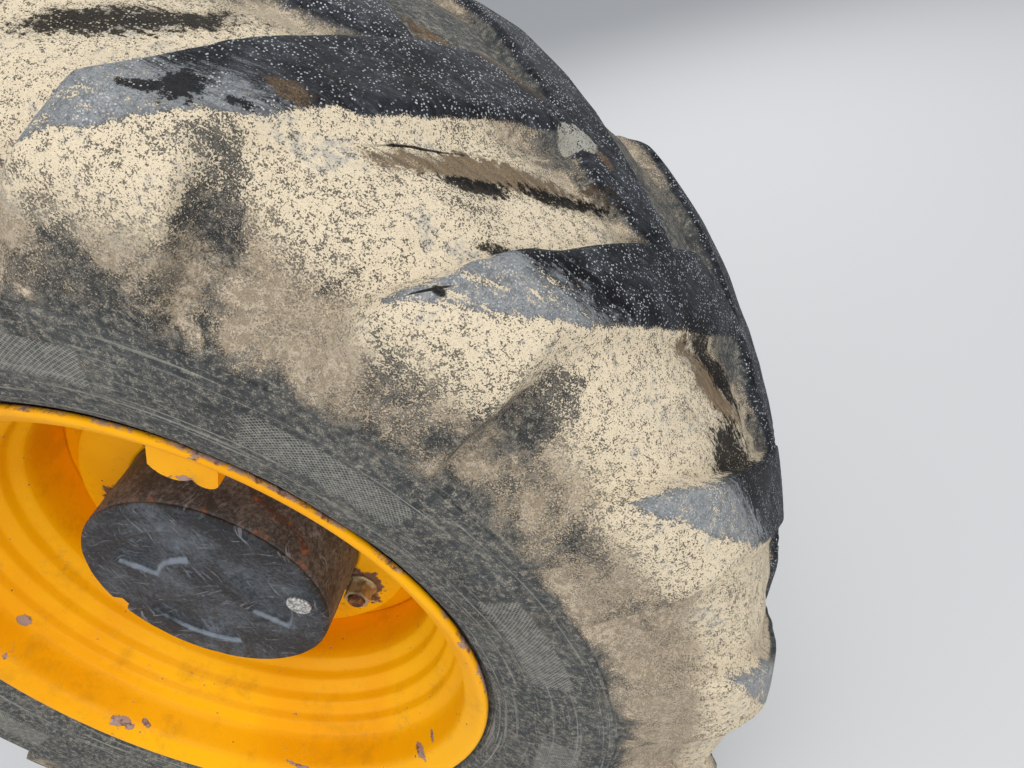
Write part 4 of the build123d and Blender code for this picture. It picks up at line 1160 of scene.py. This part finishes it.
# %% Nuts and studs
collar = rounded([
    (NUT_BORE_RADIUS, DISC_SEAT), (COLLAR_RADIUS - 1, DISC_SEAT), (COLLAR_RADIUS, DISC_SEAT + 1.0),
    (COLLAR_RADIUS, DISC_SEAT + 3.0), (17.0, DISC_SEAT + COLLAR_HEIGHT),
], 1.5, step=0.25)
hexagon = rounded([
    (NUT_CORNER_RADIUS, DISC_SEAT + COLLAR_HEIGHT), (NUT_CORNER_RADIUS, NUT_TOP - 1.6), (14.2, NUT_TOP),
    (11.4, NUT_TOP), (NUT_BORE_RADIUS, NUT_TOP - 1.4), (NUT_BORE_RADIUS, NUT_TOP - 6.0),
], 0.8, step=0.25)
nut_line = np.concatenate([with_mark(spaced(collar, 14), 0), with_mark(spaced(hexagon, 22), 1)])
stud_line = rounded([
    (0.0, STUD_TIP - 1.0), (5.5, STUD_TIP - 0.8), (6.5, STUD_TIP), (8.6, STUD_TIP), (STUD_RADIUS, STUD_TIP - 1.6),
    (STUD_RADIUS, 2.0), (15.0, 2.0), (15.0, -5.0), (14.0, -6.0), (0.0, -6.0),
], 0.9, step=0.25)
stud_line = spaced(stud_line, 90)
thread = THREAD_DEPTH * MM * (1 - np.abs(((stud_line[:, 1] / MM / THREAD_PITCH) % 1.0) * 2 - 1))
stud_line[:, 0] -= thread * (np.abs(stud_line[:, 0] - MM * STUD_RADIUS) < 0.3 * MM)
for number in range(STUD_COUNT):
    turn = math.radians(FIRST_NUT_TURN + NUT_TURN_STEP * number)
    nut_points = at_stud(spun(nut_line, NUT_COLUMNS, NUT_FLATS), number, turn)
    dress(skin(f"wheel_nut_{number + 1}", nut_points, ring=True), "wheel", "nut_steel", "wheel_nuts")
    stud_points = at_stud(spun(with_mark(stud_line, 0), STUD_COLUMNS), number)
    stud = skin(f"wheel_stud_{number + 1}", stud_points, poles=(True, True))
    dress(stud, "wheel", "stud_steel", "wheel_studs")

# %% [markdown]
# The oil plug is off the wheel's middle, so its place is read from its CAD box and the same spun skin moves there.

# %% Oil plug
PLUG_COLUMNS = 64
plug_low, plug_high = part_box("oil_plug")
plug_middle = (plug_low + plug_high) / 2
PLUG_RADIUS = (plug_high.x - plug_low.x) / 2 / MM
plug_top = (MIDDLE_Y - plug_low.y) / MM
plug_line = rounded([
    (0.0, plug_top - 2.5), (5.0, plug_top - 2.5), (5.6, plug_top), (PLUG_RADIUS - 1.5, plug_top),
    (PLUG_RADIUS, plug_top - 1.2), (PLUG_RADIUS, FACE_REACH - 1.0), (0.0, FACE_REACH - 1.0),
], 0.9, step=0.25)
across, up, out = np.moveaxis(spun(with_mark(spaced(plug_line, 44), 0), PLUG_COLUMNS), -1, 0)
points = np.stack([plug_middle.x + across, MIDDLE_Y - out, plug_middle.z + up], axis=-1)
plug = skin("oil_plug", points, poles=(True, True))
dress(plug, "wheel", "plug_steel", "oil_plug")

# %% [markdown]
# ## The pieces that keep their CAD shape
# The knuckle, the spindle, the arm and their bolts already have the right form. Each one takes its slot's finish.

# %% Dress the CAD nodes
slots = {part["node"]: part["material_slot"] for part in frame["record"]["subparts"]}
for name, node in frame["nodes"].items():
    if not node.hide_render:
        node.data.materials.clear()
        node.data.materials.append(FINISHES[slots[name]])
        print("kept", name, "in", slots[name])

# %% [markdown]
# ## The camera, the floor and the light
# The camera stands where the photo was taken from: its place and directions were worked out from the ellipses of
# the rim and the drum.

# %% Camera
CAMERA_PLACE = Vector((0.6030, MIDDLE_Y - 0.5252, 0.5481))
CAMERA_RIGHT = Vector((0.9390, 0.1870, -0.2887)).normalized()
CAMERA_FORWARD = Vector((-0.3277, 0.7410, -0.5864))
CAMERA_LENS = 26.13

back = -(CAMERA_FORWARD - CAMERA_FORWARD.dot(CAMERA_RIGHT) * CAMERA_RIGHT).normalized()
up = back.cross(CAMERA_RIGHT)
camera = bpy.data.objects.new("camera", bpy.data.cameras.new("camera"))
camera.data.lens = CAMERA_LENS
camera.data.sensor_width = 36.0
camera.data.clip_start = 0.01
camera.matrix_world = Matrix((CAMERA_RIGHT, up, back)).transposed().to_4x4()
camera.location = CAMERA_PLACE
bpy.context.scene.collection.objects.link(camera)
bpy.context.scene.camera = camera
print("camera", round((camera.location - Vector((0.0, MIDDLE_Y, 0.0))).length, 3), "m from the wheel's middle")


# %% [markdown]
# Daylight outdoors comes from everywhere at once. A big soft lamp above stands in for it, a larger one shows the
# tread from the front, two weak ones fill the sides, and the pale floor bounces some light back. They stand well off,
# so that the floor is lit evenly, and their watts are set so that a colour renders about as it is written.

# %% Lamps
LAMP_TARGET = Vector((0.1, MIDDLE_Y - 0.13, 0.0))


def lamp(name, spot, size, watts):
    """Square soft lamp at a spot, aimed at the wheel."""
    light = bpy.data.lights.new(name, "AREA")
    light.energy = watts
    light.size = size
    holder = bpy.data.objects.new(name, light)
    holder.location = spot
    holder.rotation_euler = (LAMP_TARGET - Vector(spot)).to_track_quat("-Z", "Y").to_euler()
    bpy.context.scene.collection.objects.link(holder)
    print(name, size, "m wide,", watts, "W")


lamp("sky_lamp", (1.2, MIDDLE_Y - 1.08, 2.6), 2.2, 38.0)
lamp("front_lamp", (2.7, MIDDLE_Y - 3.7, 1.3), 3.0, 80.0)
lamp("side_lamp", (-2.2, MIDDLE_Y - 1.98, 1.2), 2.0, 22.0)
lamp("back_lamp", (0.6, MIDDLE_Y + 2.82, 1.8), 2.2, 40.0)

world = bpy.data.worlds.new("sky")
bpy.context.scene.world = world
world.use_nodes = True
background = world.node_tree.nodes["Background"]
background.inputs["Color"].default_value = (0.90, 0.94, 1.0, 1.0)
background.inputs["Strength"].default_value = 0.50
bpy.context.scene.view_settings.view_transform = "Standard"

# %% Floor
FLOOR_SIZE = 60.0
half = FLOOR_SIZE / 2
floor_mesh = bpy.data.meshes.new("floor")
corners = [(x * half, y * half, FLOOR_Z) for x, y in ((-1, -1), (1, -1), (1, 1), (-1, 1))]
floor_mesh.from_pydata(corners, [], [(0, 1, 2, 3)])
floor = bpy.data.objects.new("floor", floor_mesh)
bpy.context.scene.collection.objects.link(floor)
floor_paint = bpy.data.materials.new("floor_paint")
floor_paint.use_nodes = True
floor_shader = floor_paint.node_tree.nodes["Principled BSDF"]
floor_shader.inputs["Base Color"].default_value = screen(214, 214, 214)
floor_shader.inputs["Roughness"].default_value = 0.8
floor_mesh.materials.append(floor_paint)
print("floor at", round(FLOOR_Z, 4))

# %% [markdown]
# ## The last update
# The scene is brought up to date once more. The dressed wheel may not be bigger than its CAD model.

# %% Update the scene
bpy.context.view_layer.update()
